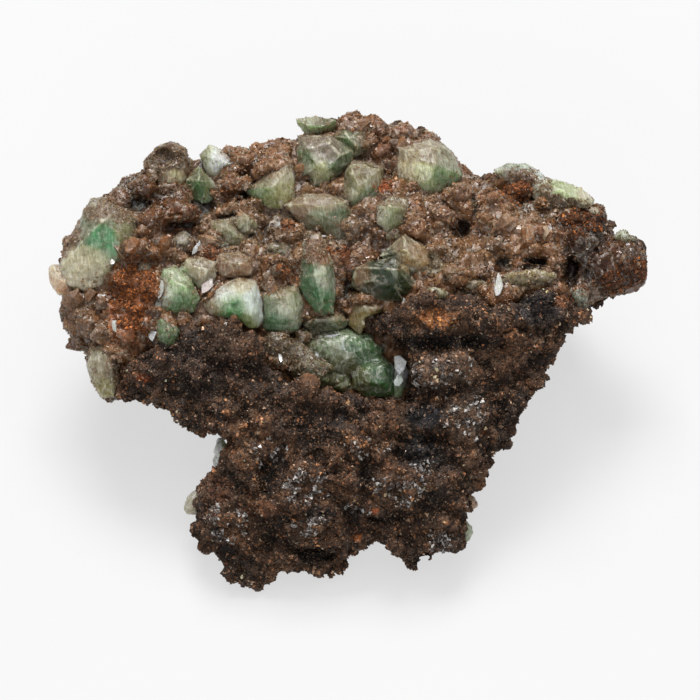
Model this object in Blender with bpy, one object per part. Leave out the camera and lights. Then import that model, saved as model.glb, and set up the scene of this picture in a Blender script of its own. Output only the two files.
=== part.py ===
"""A hand specimen of adamite: a limonite rock, a crust of brown druse, and green crystals on it.

The rock has one broken face. Every shape on that face is set out on a flat drawing plane laid
over it: u runs to the right, v runs up the face, and w stands out of it. FACE_TILT leans the
plane back, so the face looks up and forwards when the rock rests on its flat underside.
All driving dimensions are in millimetres; the meshes are built in metres, +Z up.
"""

import math
import random

import bmesh
import bpy
from mathutils import Vector, noise
from mathutils.bvhtree import BVHTree
from mathutils.geometry import delaunay_2d_cdt

MM = 0.001

# How the drawing plane lies in space
FACE_TILT = math.radians(58.0)      # elevation of the plane's normal above the ground
FACE_ORIGIN = (0.15, -4.2, 17.0)    # where u = v = w = 0 lies

# The rock's outline on the drawing plane, clockwise from the left tip
OUTLINE = [
    (-29.0, 7.4), (-28.6, 9.0), (-28.6, 10.8), (-27.0, 12.4), (-25.8, 14.3),
    (-24.0, 16.0), (-22.8, 17.3), (-20.7, 17.8), (-20.0, 19.2), (-18.5, 19.8),
    (-16.4, 19.0), (-14.4, 19.6), (-12.3, 20.0), (-11.2, 20.5), (-9.2, 20.3),
    (-7.3, 21.1), (-5.6, 21.0), (-4.8, 21.9), (-4.4, 22.5), (-3.2, 22.8),
    (-1.9, 22.9), (-0.7, 23.6), (0.7, 23.8), (2.0, 22.8), (2.8, 23.3),
    (3.9, 22.5), (5.0, 23.1), (6.5, 22.2), (8.3, 22.0), (9.4, 20.7),
    (10.8, 19.2), (12.0, 18.0), (13.6, 17.2), (15.8, 18.0), (17.8, 18.1),
    (19.9, 16.6), (22.3, 16.1), (23.8, 14.9), (25.6, 14.6), (26.1, 12.6),
    (27.0, 11.2), (28.6, 11.8), (29.8, 9.8), (30.1, 7.2), (29.3, 5.7),
    (27.8, 6.3), (25.6, 5.9), (23.4, 5.1), (21.8, 3.4), (21.8, 1.3),
    (20.2, -1.0), (19.4, -3.2), (18.1, -5.7), (16.6, -8.3), (16.0, -9.6),
    (14.6, -10.3), (14.0, -12.1), (12.0, -14.5), (11.9, -15.8), (11.4, -16.8),
    (11.7, -18.6), (9.7, -20.5), (7.8, -21.3), (6.3, -22.3), (4.6, -21.0),
    (2.8, -19.1), (1.2, -20.1), (-0.9, -21.8), (-3.4, -22.8), (-6.4, -22.2),
    (-8.0, -22.9), (-9.0, -24.2), (-11.0, -23.6), (-12.3, -22.7), (-13.4, -20.3),
    (-14.7, -19.5), (-16.0, -18.0), (-15.5, -15.6), (-14.5, -13.8), (-12.9, -12.3),
    (-13.1, -10.5), (-12.6, -9.1), (-13.4, -7.9), (-15.2, -7.9), (-18.0, -7.0),
    (-19.0, -5.7), (-20.6, -5.9), (-22.2, -5.2), (-24.1, -4.8), (-25.7, -2.8),
    (-26.4, -1.3), (-26.0, -0.4), (-27.4, 0.5), (-28.4, 2.2), (-29.2, 4.0),
    (-28.5, 5.5), (-28.8, 6.6),
]
DRUSE_RIGHT = 47                    # the druse ends here on the outline, at the right
DRUSE_LEFT = 88                     # and here, at the left

# The lower edge of the druse between those two points, from left to right
DRUSE_EDGE = [
    (-23.2, -1.6), (-21.4, 0.0), (-18.0, 1.5), (-14.5, 3.0), (-11.4, 3.1), (-9.5, 1.6),
    (-8.0, -1.0), (-5.0, -3.0), (-0.6, -4.0), (3.0, -5.0), (5.8, -5.0), (6.2, -2.2),
    (5.2, 0.2), (2.4, 1.2), (1.6, 2.6), (3.0, 3.8), (6.0, 5.0), (8.4, 6.3), (11.2, 5.0),
    (14.4, 4.8), (16.6, 5.4), (19.4, 6.4), (21.6, 5.6),
]

# Where the walls meet the ground: outline index and the point under it, (x, y) in the face's
# own ground axes, with y = 0 under the middle of the face
FOOT = {
    0: (-20.0, 14.0), 4: (-19.5, 17.1), 8: (-15.0, 21.4), 15: (-8.0, 23.0), 21: (0.0, 23.4),
    28: (8.0, 23.0), 32: (14.0, 21.8), 37: (17.5, 19.2), 43: (18.5, 14.5), 47: (18.5, 12.5),
    49: (18.0, 9.0), 52: (16.0, 3.2), 54: (13.8, -1.0), 57: (11.2, -6.3), 60: (10.4, -9.6),
    61: (9.2, -12.2), 63: (6.3, -14.4), 65: (2.6, -11.4), 67: (-1.0, -14.0),
    69: (-6.0, -15.0), 71: (-8.8, -16.7), 73: (-11.6, -15.4), 76: (-14.4, -10.0),
    78: (-13.4, -5.9), 81: (-12.2, -1.0), 83: (-13.2, 1.6), 87: (-17.0, 5.5), 91: (-20.0, 9.5),
}
WALL_STEPS = (0.08, 0.21, 0.37, 0.54, 0.71, 0.87)  # where the rings of a wall lie between its rim and foot
WALL_BELLY = 0.9                    # how far the back wall bellies out before it goes in
WALL_PITS = 2.3                     # greatest depth of the hollows in the walls
WALL_TALL = 9.0                     # the wall height from which the hollows have that depth

# Heights of the broken dark face: (u, v, w)
DARK_RELIEF = [
    (-20.0, -3.0, 0.5), (-15.0, 0.5, 1.4), (-11.0, 2.0, 1.9), (-6.5, -3.5, 1.7),
    (-0.5, -5.5, 2.0), (4.5, -6.5, 2.1), (-15.0, -5.0, 0.5), (-10.0, -5.0, 1.5),
    (-10.0, -10.0, 0.8), (-5.0, -8.0, 2.0), (0.0, -10.0, 1.9), (5.0, -10.0, 1.5),
    (10.0, -8.0, 0.7), (15.0, -5.0, 0.1), (8.0, -4.0, 0.1), (13.0, -2.0, 0.2),
    (5.5, 3.0, 2.1), (9.5, 4.0, 2.4), (14.0, 2.5, 2.2), (18.5, 4.5, 2.0), (19.5, 0.5, 0.2),
    (-12.0, -15.0, -0.6), (-14.0, -18.0, -2.0), (-9.0, -21.0, -2.6), (-9.0, -23.8, -2.8),
    (-5.0, -17.0, 0.4), (-4.0, -20.5, -3.2), (0.0, -15.0, 0.7), (-0.5, -20.5, -2.8),
    (2.5, -17.5, -1.2), (5.0, -15.0, 0.7), (7.0, -19.0, -1.2), (6.5, -22.0, -3.2),
    (10.0, -19.0, -2.0), (10.5, -15.0, -0.6), (13.0, -11.0, -0.4), (16.0, -8.0, -1.0),
    (19.0, -3.0, -1.0), (21.0, 1.5, -0.9), (-24.0, -4.5, -0.8), (-13.5, -7.5, 0.3),
    (1.0, -0.5, 2.0), (6.5, -0.5, 2.1), (11.0, 0.6, 1.4), (-7.0, -13.0, 1.2), (8.0, -13.0, 0.9),
]
# Heights of the druse: (u, v, w)
DRUSE_RELIEF = [
    (-26.0, -2.0, -1.8), (-22.5, 1.0, -1.0), (-18.0, 4.0, -0.5), (-14.0, 6.0, -0.9),
    (-11.0, 8.0, -1.4), (-5.0, 8.0, -1.5), (-1.5, 5.0, -2.0), (0.0, 0.0, -3.8),
    (3.5, 0.0, -3.4), (4.0, 2.0, -2.4), (-4.0, 0.5, -3.4), (-6.5, 0.5, -2.4),
    (5.0, 7.5, -1.6), (9.0, 8.0, -0.6), (8.0, 6.4, 0.5), (12.0, 7.0, -0.6), (17.0, 6.8, 1.0),
    (15.0, 10.0, -1.6), (18.0, 11.0, -2.4), (11.2, 12.2, -4.4), (12.6, 14.4, -5.2),
    (9.0, 15.0, -4.2), (5.0, 13.0, -3.5), (0.0, 13.0, -3.5), (-5.0, 13.0, -3.9),
    (-10.0, 13.0, -3.9), (-15.0, 12.0, -3.4), (-20.0, 11.0, -3.0), (-24.0, 10.0, -1.6),
    (-27.5, 9.0, -3.0), (-29.0, 7.5, -4.2), (-27.0, 4.0, -3.0), (-27.5, 1.5, -3.4),
    (-25.0, 13.5, -4.0), (-22.0, 15.0, -5.0), (-18.5, 18.5, -7.0), (-15.0, 18.5, -7.0),
    (-11.0, 18.0, -6.4), (-8.0, 17.0, -6.0), (-3.0, 18.0, -6.0), (-3.0, 22.5, -8.8),
    (1.0, 21.0, -7.8), (3.0, 23.0, -9.2), (8.0, 21.5, -8.8), (7.5, 18.5, -6.4),
    (11.0, 18.5, -7.8), (16.0, 17.5, -6.4), (21.0, 16.0, -5.8), (25.0, 14.0, -5.8),
    (23.0, 12.0, -3.4), (21.0, 8.5, -1.8), (22.5, 5.5, -2.4), (26.0, 11.0, -4.4),
    (29.0, 10.0, -5.0), (28.0, 7.0, -4.8), (25.0, 6.5, -3.8),
]
RELIEF_REACH = 1.9                  # how far a height above spreads
EDGE_ROUND = 1.9                    # width of the rounding along the outline
EDGE_DROP = 1.4                     # and its depth

# The crust
CRUST_THICKNESS = 1.9
SEAM = 0.4                          # clear space between the rock and its crust
LEDGE_FOOT = 0.35                   # the rock's step beside the crust: its foot
LEDGE_TOP = 0.65                    # and its top, both measured from the crust's edge
CRUST_GRAINS = 210                  # the most small brown crystals that it takes
GRAIN_RADIUS = (0.65, 1.5)
GRAIN_HEIGHT = (0.6, 1.3)
GRAIN_CROWN = 0.58                  # the crown's width as a share of the base's
SOCKET_DEPTH = 0.7                  # how far the crust sinks under a green crystal
SOCKET_MARGIN = 0.5

# Spacing of the surface points
DARK_PITCH = 1.3
DRUSE_PITCH = 1.6
BURIED_PITCH = 2.8
DARK_LUMPS = 0.75                   # height of the lumps on the dark face
DRUSE_LUMPS = 0.5

# How the crystals stand on the ground below them
CLEARANCE = 0.3
STAND = 0.5                         # how far a crystal is raised over its socket's brim
CUTTER_PITCH = 1.0
CUTTER_REACH = 33.0
CUTTER_SHIFT = (-0.0437, -0.0271)   # keeps the block's grid off the crystals' own corners
CUTTER_FLOOR = -16.0
ROOT = -2.6                         # the crystals' roots reach this far below their own ground
NEIGHBOUR_GAP = 0.45

# The crystals: each is one or two hulls of corners (u, v, height above the ground there)
CRYSTALS = {
    "great_left_crystal": [[
        (-25.9, 14.2, 0.5), (-24.9, 14.3, 0.7), (-23.2, 13.8, 0.8), (-21.9, 12.8, 0.6),
        (-22.0, 10.5, 0.5), (-23.4, 8.6, 0.4), (-24.4, 7.4, 0.3), (-26.2, 6.5, 0.2),
        (-27.8, 7.0, 0.2), (-28.6, 8.4, 0.3), (-27.6, 11.0, 0.6), (-26.6, 12.6, 0.5),
        (-24.9, 12.8, 3.2), (-26.5, 11.2, 3.0), (-23.2, 11.8, 2.8), (-23.3, 9.4, 2.4)]],
    "pink_tip_crystal": [[
        (-30.4, 7.8, 0.3), (-29.8, 8.3, 0.4), (-28.9, 8.3, 0.5), (-28.2, 7.6, 0.4),
        (-28.1, 5.7, 0.4), (-29.3, 5.9, 0.3), (-30.1, 7.0, 0.3), (-29.3, 7.5, 1.9),
        (-28.7, 6.9, 1.8)]],
    "lower_left_crystal": [[
        (-25.7, -0.2, 0.2), (-24.2, 0.6, 0.4), (-22.9, 0.2, 0.4), (-22.8, -1.0, 0.3),
        (-23.4, -2.6, 0.3), (-23.8, -4.2, 0.2), (-24.8, -4.2, 0.2), (-25.6, -3.0, 0.2),
        (-26.0, -1.6, 0.2), (-24.3, -0.6, 1.9), (-23.9, -1.8, 1.9), (-24.5, -3.2, 1.3)]],
    "top_left_crystal": [[
        (-20.3, 19.0, 0.3), (-19.3, 20.0, 0.5), (-18.2, 20.5, 0.5), (-17.0, 20.0, 0.5),
        (-16.7, 19.0, 0.4), (-16.6, 18.0, 0.3), (-17.0, 16.8, 0.2), (-18.2, 16.1, 0.2),
        (-19.6, 16.5, 0.2), (-20.4, 17.8, 0.2), (-19.0, 18.8, 2.0), (-17.6, 18.6, 2.0),
        (-18.2, 17.2, 1.5)]],
    "deep_green_crystals": [
        [(-16.2, 17.2, 0.4), (-15.1, 18.4, 0.6), (-13.8, 17.0, 0.6), (-13.4, 15.8, 0.4),
         (-13.9, 14.3, 0.2), (-15.2, 13.9, 0.2), (-16.3, 15.8, 0.2), (-15.2, 17.0, 2.2),
         (-14.7, 15.4, 1.8)],
        [(-15.0, 19.2, 0.5), (-14.2, 20.1, 0.6), (-12.8, 19.5, 0.7), (-11.6, 18.8, 0.5),
         (-12.0, 18.0, 0.3), (-13.3, 18.0, 0.3), (-14.3, 17.4, 0.3), (-13.8, 19.2, 1.9),
         (-12.5, 18.7, 1.6)]],
    "ridge_crystal": [[
        (-10.0, 16.1, 0.4), (-8.8, 17.2, 0.8), (-6.3, 18.6, 0.6), (-5.9, 17.2, 0.5),
        (-5.9, 15.5, 0.3), (-6.8, 14.2, 0.2), (-8.5, 14.5, 0.2), (-9.6, 15.3, 0.2),
        (-7.8, 16.4, 2.8), (-6.5, 18.0, 2.1), (-9.4, 16.2, 1.5)]],
    "top_wedge_crystal": [[
        (-5.0, 23.2, 0.4), (-3.4, 23.4, 0.5), (-1.9, 23.1, 0.5), (-1.7, 22.5, 0.4),
        (-2.4, 21.9, 0.3), (-4.0, 21.8, 0.3), (-4.7, 22.2, 0.3), (-4.2, 22.7, 1.7),
        (-2.6, 22.6, 1.9)]],
    "upper_twin_crystals": [
        [(-4.8, 20.0, 0.5), (-4.5, 21.2, 0.6), (-2.0, 21.3, 0.8), (0.0, 20.0, 0.7),
         (-0.1, 19.0, 0.4), (-1.4, 17.0, 0.3), (-2.1, 16.2, 0.2), (-3.5, 16.2, 0.2),
         (-4.8, 17.6, 0.3), (-3.2, 18.5, 3.3), (-2.0, 18.2, 3.5), (-4.2, 20.2, 2.4),
         (-1.0, 19.6, 2.9), (-2.0, 20.8, 2.4)],
        [(-1.7, 21.2, 0.4), (-0.9, 21.8, 0.5), (0.6, 21.7, 0.5), (1.3, 20.9, 0.4),
         (1.1, 20.0, 0.3), (0.0, 19.4, 0.3), (-1.2, 20.1, 0.3), (-0.3, 21.1, 1.8),
         (0.4, 20.4, 1.6)]],
    "anvil_crystals": [
        [(-0.5, 17.5, 0.4), (0.0, 18.2, 0.7), (1.2, 18.1, 0.8), (2.5, 17.7, 0.5),
         (2.7, 16.0, 0.3), (2.3, 14.6, 0.2), (1.4, 13.9, 0.2), (0.2, 13.9, 0.2),
         (-0.9, 15.2, 0.3), (0.2, 17.4, 2.4), (0.9, 16.4, 3.0), (0.4, 15.0, 1.9)],
        [(-5.9, 14.6, 0.3), (-4.1, 15.6, 0.6), (-2.0, 15.5, 0.8), (-0.4, 15.0, 0.6),
         (0.0, 14.0, 0.5), (0.1, 11.8, 0.3), (-1.0, 10.9, 0.2), (-2.8, 11.6, 0.2),
         (-4.1, 12.4, 0.2), (-5.0, 13.6, 0.3), (-4.5, 14.7, 2.2), (-0.7, 14.8, 2.8),
         (-3.2, 14.4, 2.8), (-1.0, 12.8, 2.4), (-3.2, 13.0, 2.0)]],
    "upper_right_crystal": [[
        (5.2, 17.0, 0.4), (5.9, 18.8, 0.7), (5.4, 20.1, 0.6), (6.8, 20.3, 0.7),
        (8.0, 20.7, 0.8), (9.2, 20.2, 0.7), (10.1, 19.3, 0.6), (10.8, 17.7, 0.4),
        (10.0, 16.5, 0.3), (8.7, 15.4, 0.2), (7.5, 15.1, 0.2), (6.2, 15.7, 0.2),
        (6.9, 19.9, 2.8), (7.2, 18.9, 3.8), (8.6, 18.7, 3.8), (10.1, 18.0, 2.3),
        (8.2, 20.3, 2.6), (7.6, 17.0, 3.1)]],
    "olive_crystal": [[
        (3.0, 14.4, 0.4), (4.2, 15.2, 0.7), (5.5, 14.9, 0.6), (6.0, 13.9, 0.4),
        (5.2, 12.8, 0.3), (3.9, 12.2, 0.2), (3.0, 12.8, 0.2), (3.8, 14.4, 2.0),
        (5.0, 14.2, 1.9), (4.0, 13.3, 1.5)]],
    "central_blade_crystal": [[
        (-4.1, 11.0, 0.5), (-3.1, 11.0, 0.5), (-2.0, 8.8, 0.4), (-1.7, 6.5, 0.3),
        (-1.9, 4.3, 0.3), (-2.9, 4.1, 0.2), (-4.0, 5.0, 0.2), (-4.8, 6.6, 0.3),
        (-4.6, 8.8, 0.4), (-3.8, 9.8, 2.4), (-3.6, 7.5, 3.4), (-2.4, 7.7, 3.0),
        (-2.8, 5.0, 2.1), (-4.3, 7.4, 2.1)]],
    "pocket_edge_crystal": [[
        (-8.7, 5.3, 0.4), (-8.6, 6.0, 0.5), (-7.0, 6.3, 0.7), (-5.5, 6.2, 0.6),
        (-5.0, 4.7, 0.5), (-5.1, 3.2, 0.4), (-5.5, 2.4, 0.3), (-7.0, 2.0, 0.3),
        (-8.5, 2.4, 0.3), (-8.4, 5.2, 2.6), (-5.8, 5.6, 3.0), (-5.4, 4.1, 2.6),
        (-7.0, 3.0, 1.9), (-8.1, 3.2, 2.0)]],
    "white_faced_crystal": [[
        (-14.2, 4.7, 0.5), (-12.8, 6.1, 0.7), (-11.2, 6.9, 0.9), (-9.7, 6.6, 0.7),
        (-9.2, 5.2, 0.5), (-9.1, 3.4, 0.3), (-9.9, 2.2, 0.3), (-11.4, 2.8, 0.3),
        (-13.0, 3.2, 0.3), (-13.8, 3.8, 0.3), (-12.8, 5.4, 2.6), (-11.0, 6.3, 3.0),
        (-9.9, 5.8, 2.8), (-9.7, 3.6, 2.3), (-12.2, 3.8, 2.1)]],
    "frosted_pair_crystals": [
        [(-18.4, 7.8, 0.4), (-17.4, 8.1, 0.5), (-16.0, 7.0, 0.6), (-15.2, 5.3, 0.5),
         (-15.8, 4.2, 0.3), (-17.4, 3.8, 0.2), (-18.8, 4.0, 0.2), (-19.1, 5.5, 0.3),
         (-17.8, 7.0, 2.2), (-16.4, 6.2, 2.6), (-17.0, 4.8, 1.8), (-18.4, 5.4, 1.8)],
        [(-17.0, 7.8, 0.3), (-16.4, 8.6, 0.4), (-15.3, 8.8, 0.5), (-13.9, 8.4, 0.5),
         (-13.9, 7.3, 0.4), (-14.5, 6.0, 0.3), (-15.4, 6.2, 0.3), (-15.8, 8.2, 1.8),
         (-14.4, 7.9, 1.8), (-15.0, 6.9, 1.6)]],
    "brown_frosted_crystal": [[
        (-13.4, 8.6, 0.3), (-12.8, 9.4, 0.4), (-11.4, 9.6, 0.5), (-10.3, 9.2, 0.4),
        (-9.8, 8.2, 0.3), (-10.2, 7.6, 0.3), (-11.4, 7.4, 0.3), (-12.8, 7.5, 0.3),
        (-12.2, 8.8, 1.8), (-10.8, 8.6, 1.8), (-11.6, 8.0, 1.5)]],
    "feathered_crystal": [[
        (-13.6, 12.7, 0.3), (-11.8, 13.0, 0.5), (-10.7, 12.0, 0.4), (-10.1, 10.8, 0.3),
        (-11.2, 10.3, 0.2), (-12.6, 10.6, 0.2), (-13.7, 11.4, 0.2), (-12.4, 12.3, 1.7),
        (-11.2, 11.3, 1.6)]],
    "taupe_twin_crystals": [
        [(4.0, 9.8, 0.3), (5.3, 11.0, 0.4), (7.0, 10.0, 0.4), (8.1, 8.2, 0.2),
         (6.2, 7.8, 0.2), (4.2, 8.4, 0.2), (3.2, 9.2, 0.2), (5.4, 10.0, 2.2),
         (6.2, 9.2, 1.8)],
        [(1.0, 8.2, 0.4), (2.5, 8.8, 0.6), (4.4, 9.1, 0.8), (5.6, 8.4, 0.6),
         (6.1, 6.6, 0.4), (5.2, 5.4, 0.3), (3.6, 5.3, 0.3), (2.0, 5.8, 0.3),
         (0.8, 6.7, 0.3), (3.0, 8.2, 2.4), (4.8, 8.0, 2.6), (4.6, 6.4, 2.0),
         (2.4, 7.0, 2.0)]],
    "yellow_olive_crystal": [[
        (0.2, 4.5, 0.3), (1.2, 5.1, 0.5), (2.6, 4.9, 0.6), (3.4, 4.3, 0.5),
        (2.6, 3.2, 0.3), (2.0, 1.9, 0.3), (1.0, 1.8, 0.3), (0.1, 2.8, 0.3),
        (1.4, 4.4, 2.2), (2.6, 4.1, 2.3), (1.6, 2.7, 1.8)]],
    "pocket_shade_crystal": [[
        (-4.4, 2.9, 0.3), (-3.0, 3.4, 0.5), (-1.2, 3.5, 0.5), (-0.2, 2.9, 0.3),
        (-1.2, 2.1, 0.2), (-2.8, 1.9, 0.2), (-4.2, 2.3, 0.2), (-3.2, 3.0, 1.7),
        (-1.5, 2.9, 1.7)]],
    "pocket_green_crystals": [
        [(-3.7, 0.3, 0.3), (-2.0, 1.5, 0.5), (0.1, 1.7, 0.7), (1.7, 1.2, 0.6),
         (2.8, 0.1, 0.5), (2.8, -1.0, 0.3), (1.2, -1.5, 0.3), (-0.5, -2.3, 0.3),
         (-2.0, -1.9, 0.2), (-3.3, -1.0, 0.2), (-2.4, 0.4, 2.3), (0.0, 1.0, 3.1),
         (1.8, 0.2, 2.9), (-0.2, -1.0, 2.3)],
        [(0.2, -1.8, 0.4), (1.2, -1.1, 0.6), (3.0, -0.8, 0.7), (3.9, -1.6, 0.6),
         (4.0, -3.0, 0.4), (3.8, -4.2, 0.3), (2.6, -4.3, 0.3), (1.2, -4.0, 0.3),
         (0.3, -3.3, 0.3), (1.6, -1.8, 2.8), (3.4, -1.6, 3.0), (3.4, -3.4, 2.6),
         (1.5, -3.1, 2.4)]],
    "glassy_corner_crystal": [[
        (4.7, -1.3, 0.4), (5.1, -0.9, 0.5), (5.6, -1.2, 0.4), (5.8, -2.2, 0.3),
        (5.4, -3.6, 0.2), (5.2, -4.5, 0.2), (4.6, -4.5, 0.2), (4.5, -3.0, 0.3),
        (4.9, -1.7, 2.6), (5.4, -2.2, 2.4), (5.0, -3.7, 2.4)]],
    "right_rim_crystals": [
        [(18.3, 16.0, 0.3), (18.8, 16.9, 0.4), (19.7, 17.2, 0.5), (21.2, 16.8, 0.6),
         (22.7, 16.3, 0.5), (23.8, 15.3, 0.4), (23.5, 14.5, 0.3), (22.0, 14.0, 0.2),
         (20.2, 13.4, 0.2), (19.0, 14.5, 0.2), (19.5, 16.0, 2.2), (21.3, 16.0, 2.6),
         (22.8, 15.4, 2.0), (20.8, 14.7, 1.8)],
        [(15.5, 17.8, 0.3), (16.8, 18.3, 0.4), (18.2, 18.2, 0.4), (19.4, 17.5, 0.3),
         (19.6, 16.6, 0.3), (18.4, 16.2, 0.2), (16.6, 16.4, 0.2), (17.0, 17.6, 1.5),
         (18.5, 17.2, 1.6)]],
}

MATERIALS = {
    "limonite": ((0.055, 0.036, 0.026), 0.9),
    "druse": ((0.17, 0.095, 0.06), 0.55),
    "adamite": ((0.2, 0.33, 0.19), 0.25),
}


def face_point(u, v, w):
    """The point in space, in metres, at (u, v, w) millimetres on the drawing plane."""
    x, y, z = FACE_ORIGIN
    sine, cosine = math.sin(FACE_TILT), math.cos(FACE_TILT)
    return Vector((x + u, y + v * sine - w * cosine, z + v * cosine + w * sine)) * MM


def along(a, b, share):
    """The point a share of the way from a to b."""
    return tuple(p + (q - p) * share for p, q in zip(a, b))


def inside(u, v, loop):
    """Whether a point lies inside a closed loop of points."""
    found = False
    for (u0, v0), (u1, v1) in zip(loop, loop[1:] + loop[:1]):
        if (v0 > v) != (v1 > v) and u < u0 + (v - v0) / (v1 - v0) * (u1 - u0):
            found = not found
    return found


def distance(u, v, points, closed=True):
    """The distance from a point to a run of segments."""
    ends = points[1:] + points[:1] if closed else points[1:]
    best = math.inf
    for (u0, v0), (u1, v1) in zip(points, ends):
        du, dv = u1 - u0, v1 - v0
        share = ((u - u0) * du + (v - v0) * dv) / (du * du + dv * dv)
        share = min(1.0, max(0.0, share))
        best = min(best, math.hypot(u - u0 - share * du, v - v0 - share * dv))
    return best


def relief(u, v, heights):
    """The height at a point, blended from the hand-placed heights near it."""
    spread = 2.0 * RELIEF_REACH * RELIEF_REACH
    total, weight = 0.0, 0.0
    nearest = min((u - a) ** 2 + (v - b) ** 2 for a, b, _ in heights)
    for a, b, height in heights:
        share = math.exp((nearest - (u - a) ** 2 - (v - b) ** 2) / spread)
        total += share * height
        weight += share
    return total / weight


def rounding(u, v):
    """How far the surface falls away near the outline."""
    near = max(0.0, 1.0 - distance(u, v, OUTLINE) / EDGE_ROUND)
    return EDGE_DROP * near * near


def lumps(u, v, size, seed):
    """Smooth lumps of about the given size, between -1 and 1."""
    return noise.fractal(Vector((u / size, v / size, seed)), 0.9, 2.1, 3)


def footprint(hull):
    """The outline of a crystal on the drawing plane, in order round its middle."""
    low = [corner for corner in hull if corner[2] < 1.0]
    middle_u = sum(c[0] for c in low) / len(low)
    middle_v = sum(c[1] for c in low) / len(low)
    low.sort(key=lambda c: math.atan2(c[1] - middle_v, c[0] - middle_u))
    return [(u, v) for u, v, _ in low]


FOOTPRINTS = [footprint(hull) for hulls in CRYSTALS.values() for hull in hulls]


def under_crystal(u, v, margin):
    """Whether a point lies under a crystal or within a margin of one."""
    return any(inside(u, v, loop) or distance(u, v, loop) < margin for loop in FOOTPRINTS)


def druse_loop():
    """The crust's outline: the rock's upper outline, then the druse's lower edge."""
    rim = OUTLINE[DRUSE_LEFT:] + OUTLINE[:DRUSE_RIGHT + 1]
    return rim + DRUSE_EDGE[::-1]


def shifted_edge(offset):
    """The druse's lower edge moved outwards over the dark rock by an offset."""
    run = [OUTLINE[DRUSE_LEFT]] + DRUSE_EDGE + [OUTLINE[DRUSE_RIGHT]]
    moved = []
    for before, here, after in zip(run, run[1:], run[2:]):
        first = Vector((here[0] - before[0], here[1] - before[1])).normalized()
        second = Vector((after[0] - here[0], after[1] - here[1])).normalized()
        way = Vector((first.y + second.y, -first.x - second.x)).normalized()
        reach = offset / max(0.5, way.dot(Vector((first.y, -first.x))))
        moved.append((here[0] + way.x * reach, here[1] + way.y * reach))
    return moved


def crust_height(u, v):
    """The crust's own surface, without its small crystals."""
    sunk = SOCKET_DEPTH if under_crystal(u, v, SOCKET_MARGIN) else 0.0
    rough = 0.0 if sunk else DRUSE_LUMPS * lumps(u, v, 3.2, 4.0)
    return relief(u, v, DRUSE_RELIEF) - rounding(u, v) + rough - sunk


def crust_underside(u, v):
    """The crust's underside, smooth and a thickness below the druse."""
    return relief(u, v, DRUSE_RELIEF) - rounding(u, v) - CRUST_THICKNESS


def dark_height(u, v):
    """The dark rock's broken surface, with its lumps, ledges and pits."""
    rough = DARK_LUMPS * lumps(u, v, 4.2, 1.0) + 0.45 * DARK_LUMPS * lumps(u, v, 1.7, 7.0)
    return relief(u, v, DARK_RELIEF) - rounding(u, v) + rough


def spread_points(loop, pitch, clear, seed, edge=None):
    """Jittered points at a pitch inside a loop, clear of its sides and of another edge."""
    draw = random.Random(seed)
    points = []
    columns = [u for u, _ in loop]
    rows = [v for _, v in loop]
    row = 0
    v = min(rows)
    while v < max(rows):
        u = min(columns) + (0.5 * pitch if row % 2 else 0.0)
        while u < max(columns):
            spot = (u + draw.uniform(-0.28, 0.28) * pitch, v + draw.uniform(-0.28, 0.28) * pitch)
            if inside(*spot, loop) and distance(*spot, loop) > clear:
                if edge is None or distance(*spot, edge, closed=False) > clear:
                    points.append(spot)
            u += pitch
        v += 0.87 * pitch
        row += 1
    return points


def small_crystals(loop):
    """The crust's small brown crystals: for each, a ring of base corners and a raised top."""
    draw = random.Random(11)
    placed = []
    columns = [u for u, _ in loop]
    rows = [v for _, v in loop]
    for _ in range(CRUST_GRAINS * 40):
        if len(placed) >= CRUST_GRAINS:
            break
        u = draw.uniform(min(columns), max(columns))
        v = draw.uniform(min(rows), max(rows))
        radius = draw.uniform(*GRAIN_RADIUS)
        turn = draw.uniform(0.0, math.tau)
        height = draw.uniform(*GRAIN_HEIGHT)
        lean = draw.uniform(-0.35, 0.35)
        if not inside(u, v, loop) or distance(u, v, loop) < radius + 0.2:
            continue
        if under_crystal(u, v, radius + 0.4):
            continue
        if any(math.hypot(u - a, v - b) < radius + r + 0.05 for a, b, r, *_ in placed):
            continue
        placed.append((u, v, radius, turn, height, lean))
    return placed


def crystal_corners(grain):
    """The corners of one small crystal: (u, v, w) for its base ring and for its top."""
    u, v, radius, turn, height, lean = grain
    ground = crust_height(u, v)
    ring = []
    for side in range(6):
        angle = turn + side * math.tau / 6
        reach = radius * (1.0 if side % 3 else 0.8)
        a, b = u + reach * math.cos(angle), v + reach * math.sin(angle)
        ring.append((a, b, crust_height(a, b)))
    top = []
    for side in range(4):
        angle = turn + math.tau / 12 + side * math.tau / 4
        a = u + GRAIN_CROWN * radius * math.cos(angle)
        b = v + GRAIN_CROWN * radius * math.sin(angle)
        top.append((a, b, ground + height * (1.0 + lean * math.cos(math.tau * side / 4))))
    return ring, top


def sheet(points, runs, loop):
    """Triangles over points (u, v, w) inside a loop, keeping the edges of closed or open runs."""
    flat = [Vector((u, v)) for u, v, _ in points]
    found = delaunay_2d_cdt(flat, runs, [], 0, 1e-5)
    corners, faces, origins = found[0], found[2], found[3]
    kept = []
    for face in faces:
        middle = sum((corners[i] for i in face), Vector((0.0, 0.0))) / len(face)
        if inside(middle.x, middle.y, loop):
            kept.append([origins[i][0] for i in face])
    return kept


def loop_edges(first, count):
    """The index pairs of a closed loop."""
    return [(first + i, first + (i + 1) % count) for i in range(count)]


def run_edges(indices):
    """The index pairs of an open run."""
    return list(zip(indices, indices[1:]))


def new_object(name, mesh, look):
    """An object with its own material."""
    obj = bpy.data.objects.new(name, mesh)
    bpy.context.scene.collection.objects.link(obj)
    colour, roughness = MATERIALS[look]
    material = bpy.data.materials.new(name + "_look")
    material.use_nodes = True
    shader = material.node_tree.nodes["Principled BSDF"]
    shader.inputs["Base Color"].default_value = (*colour, 1.0)
    shader.inputs["Roughness"].default_value = roughness
    shader.inputs["Metallic"].default_value = 0.0
    obj.data.materials.append(material)
    return obj


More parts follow.
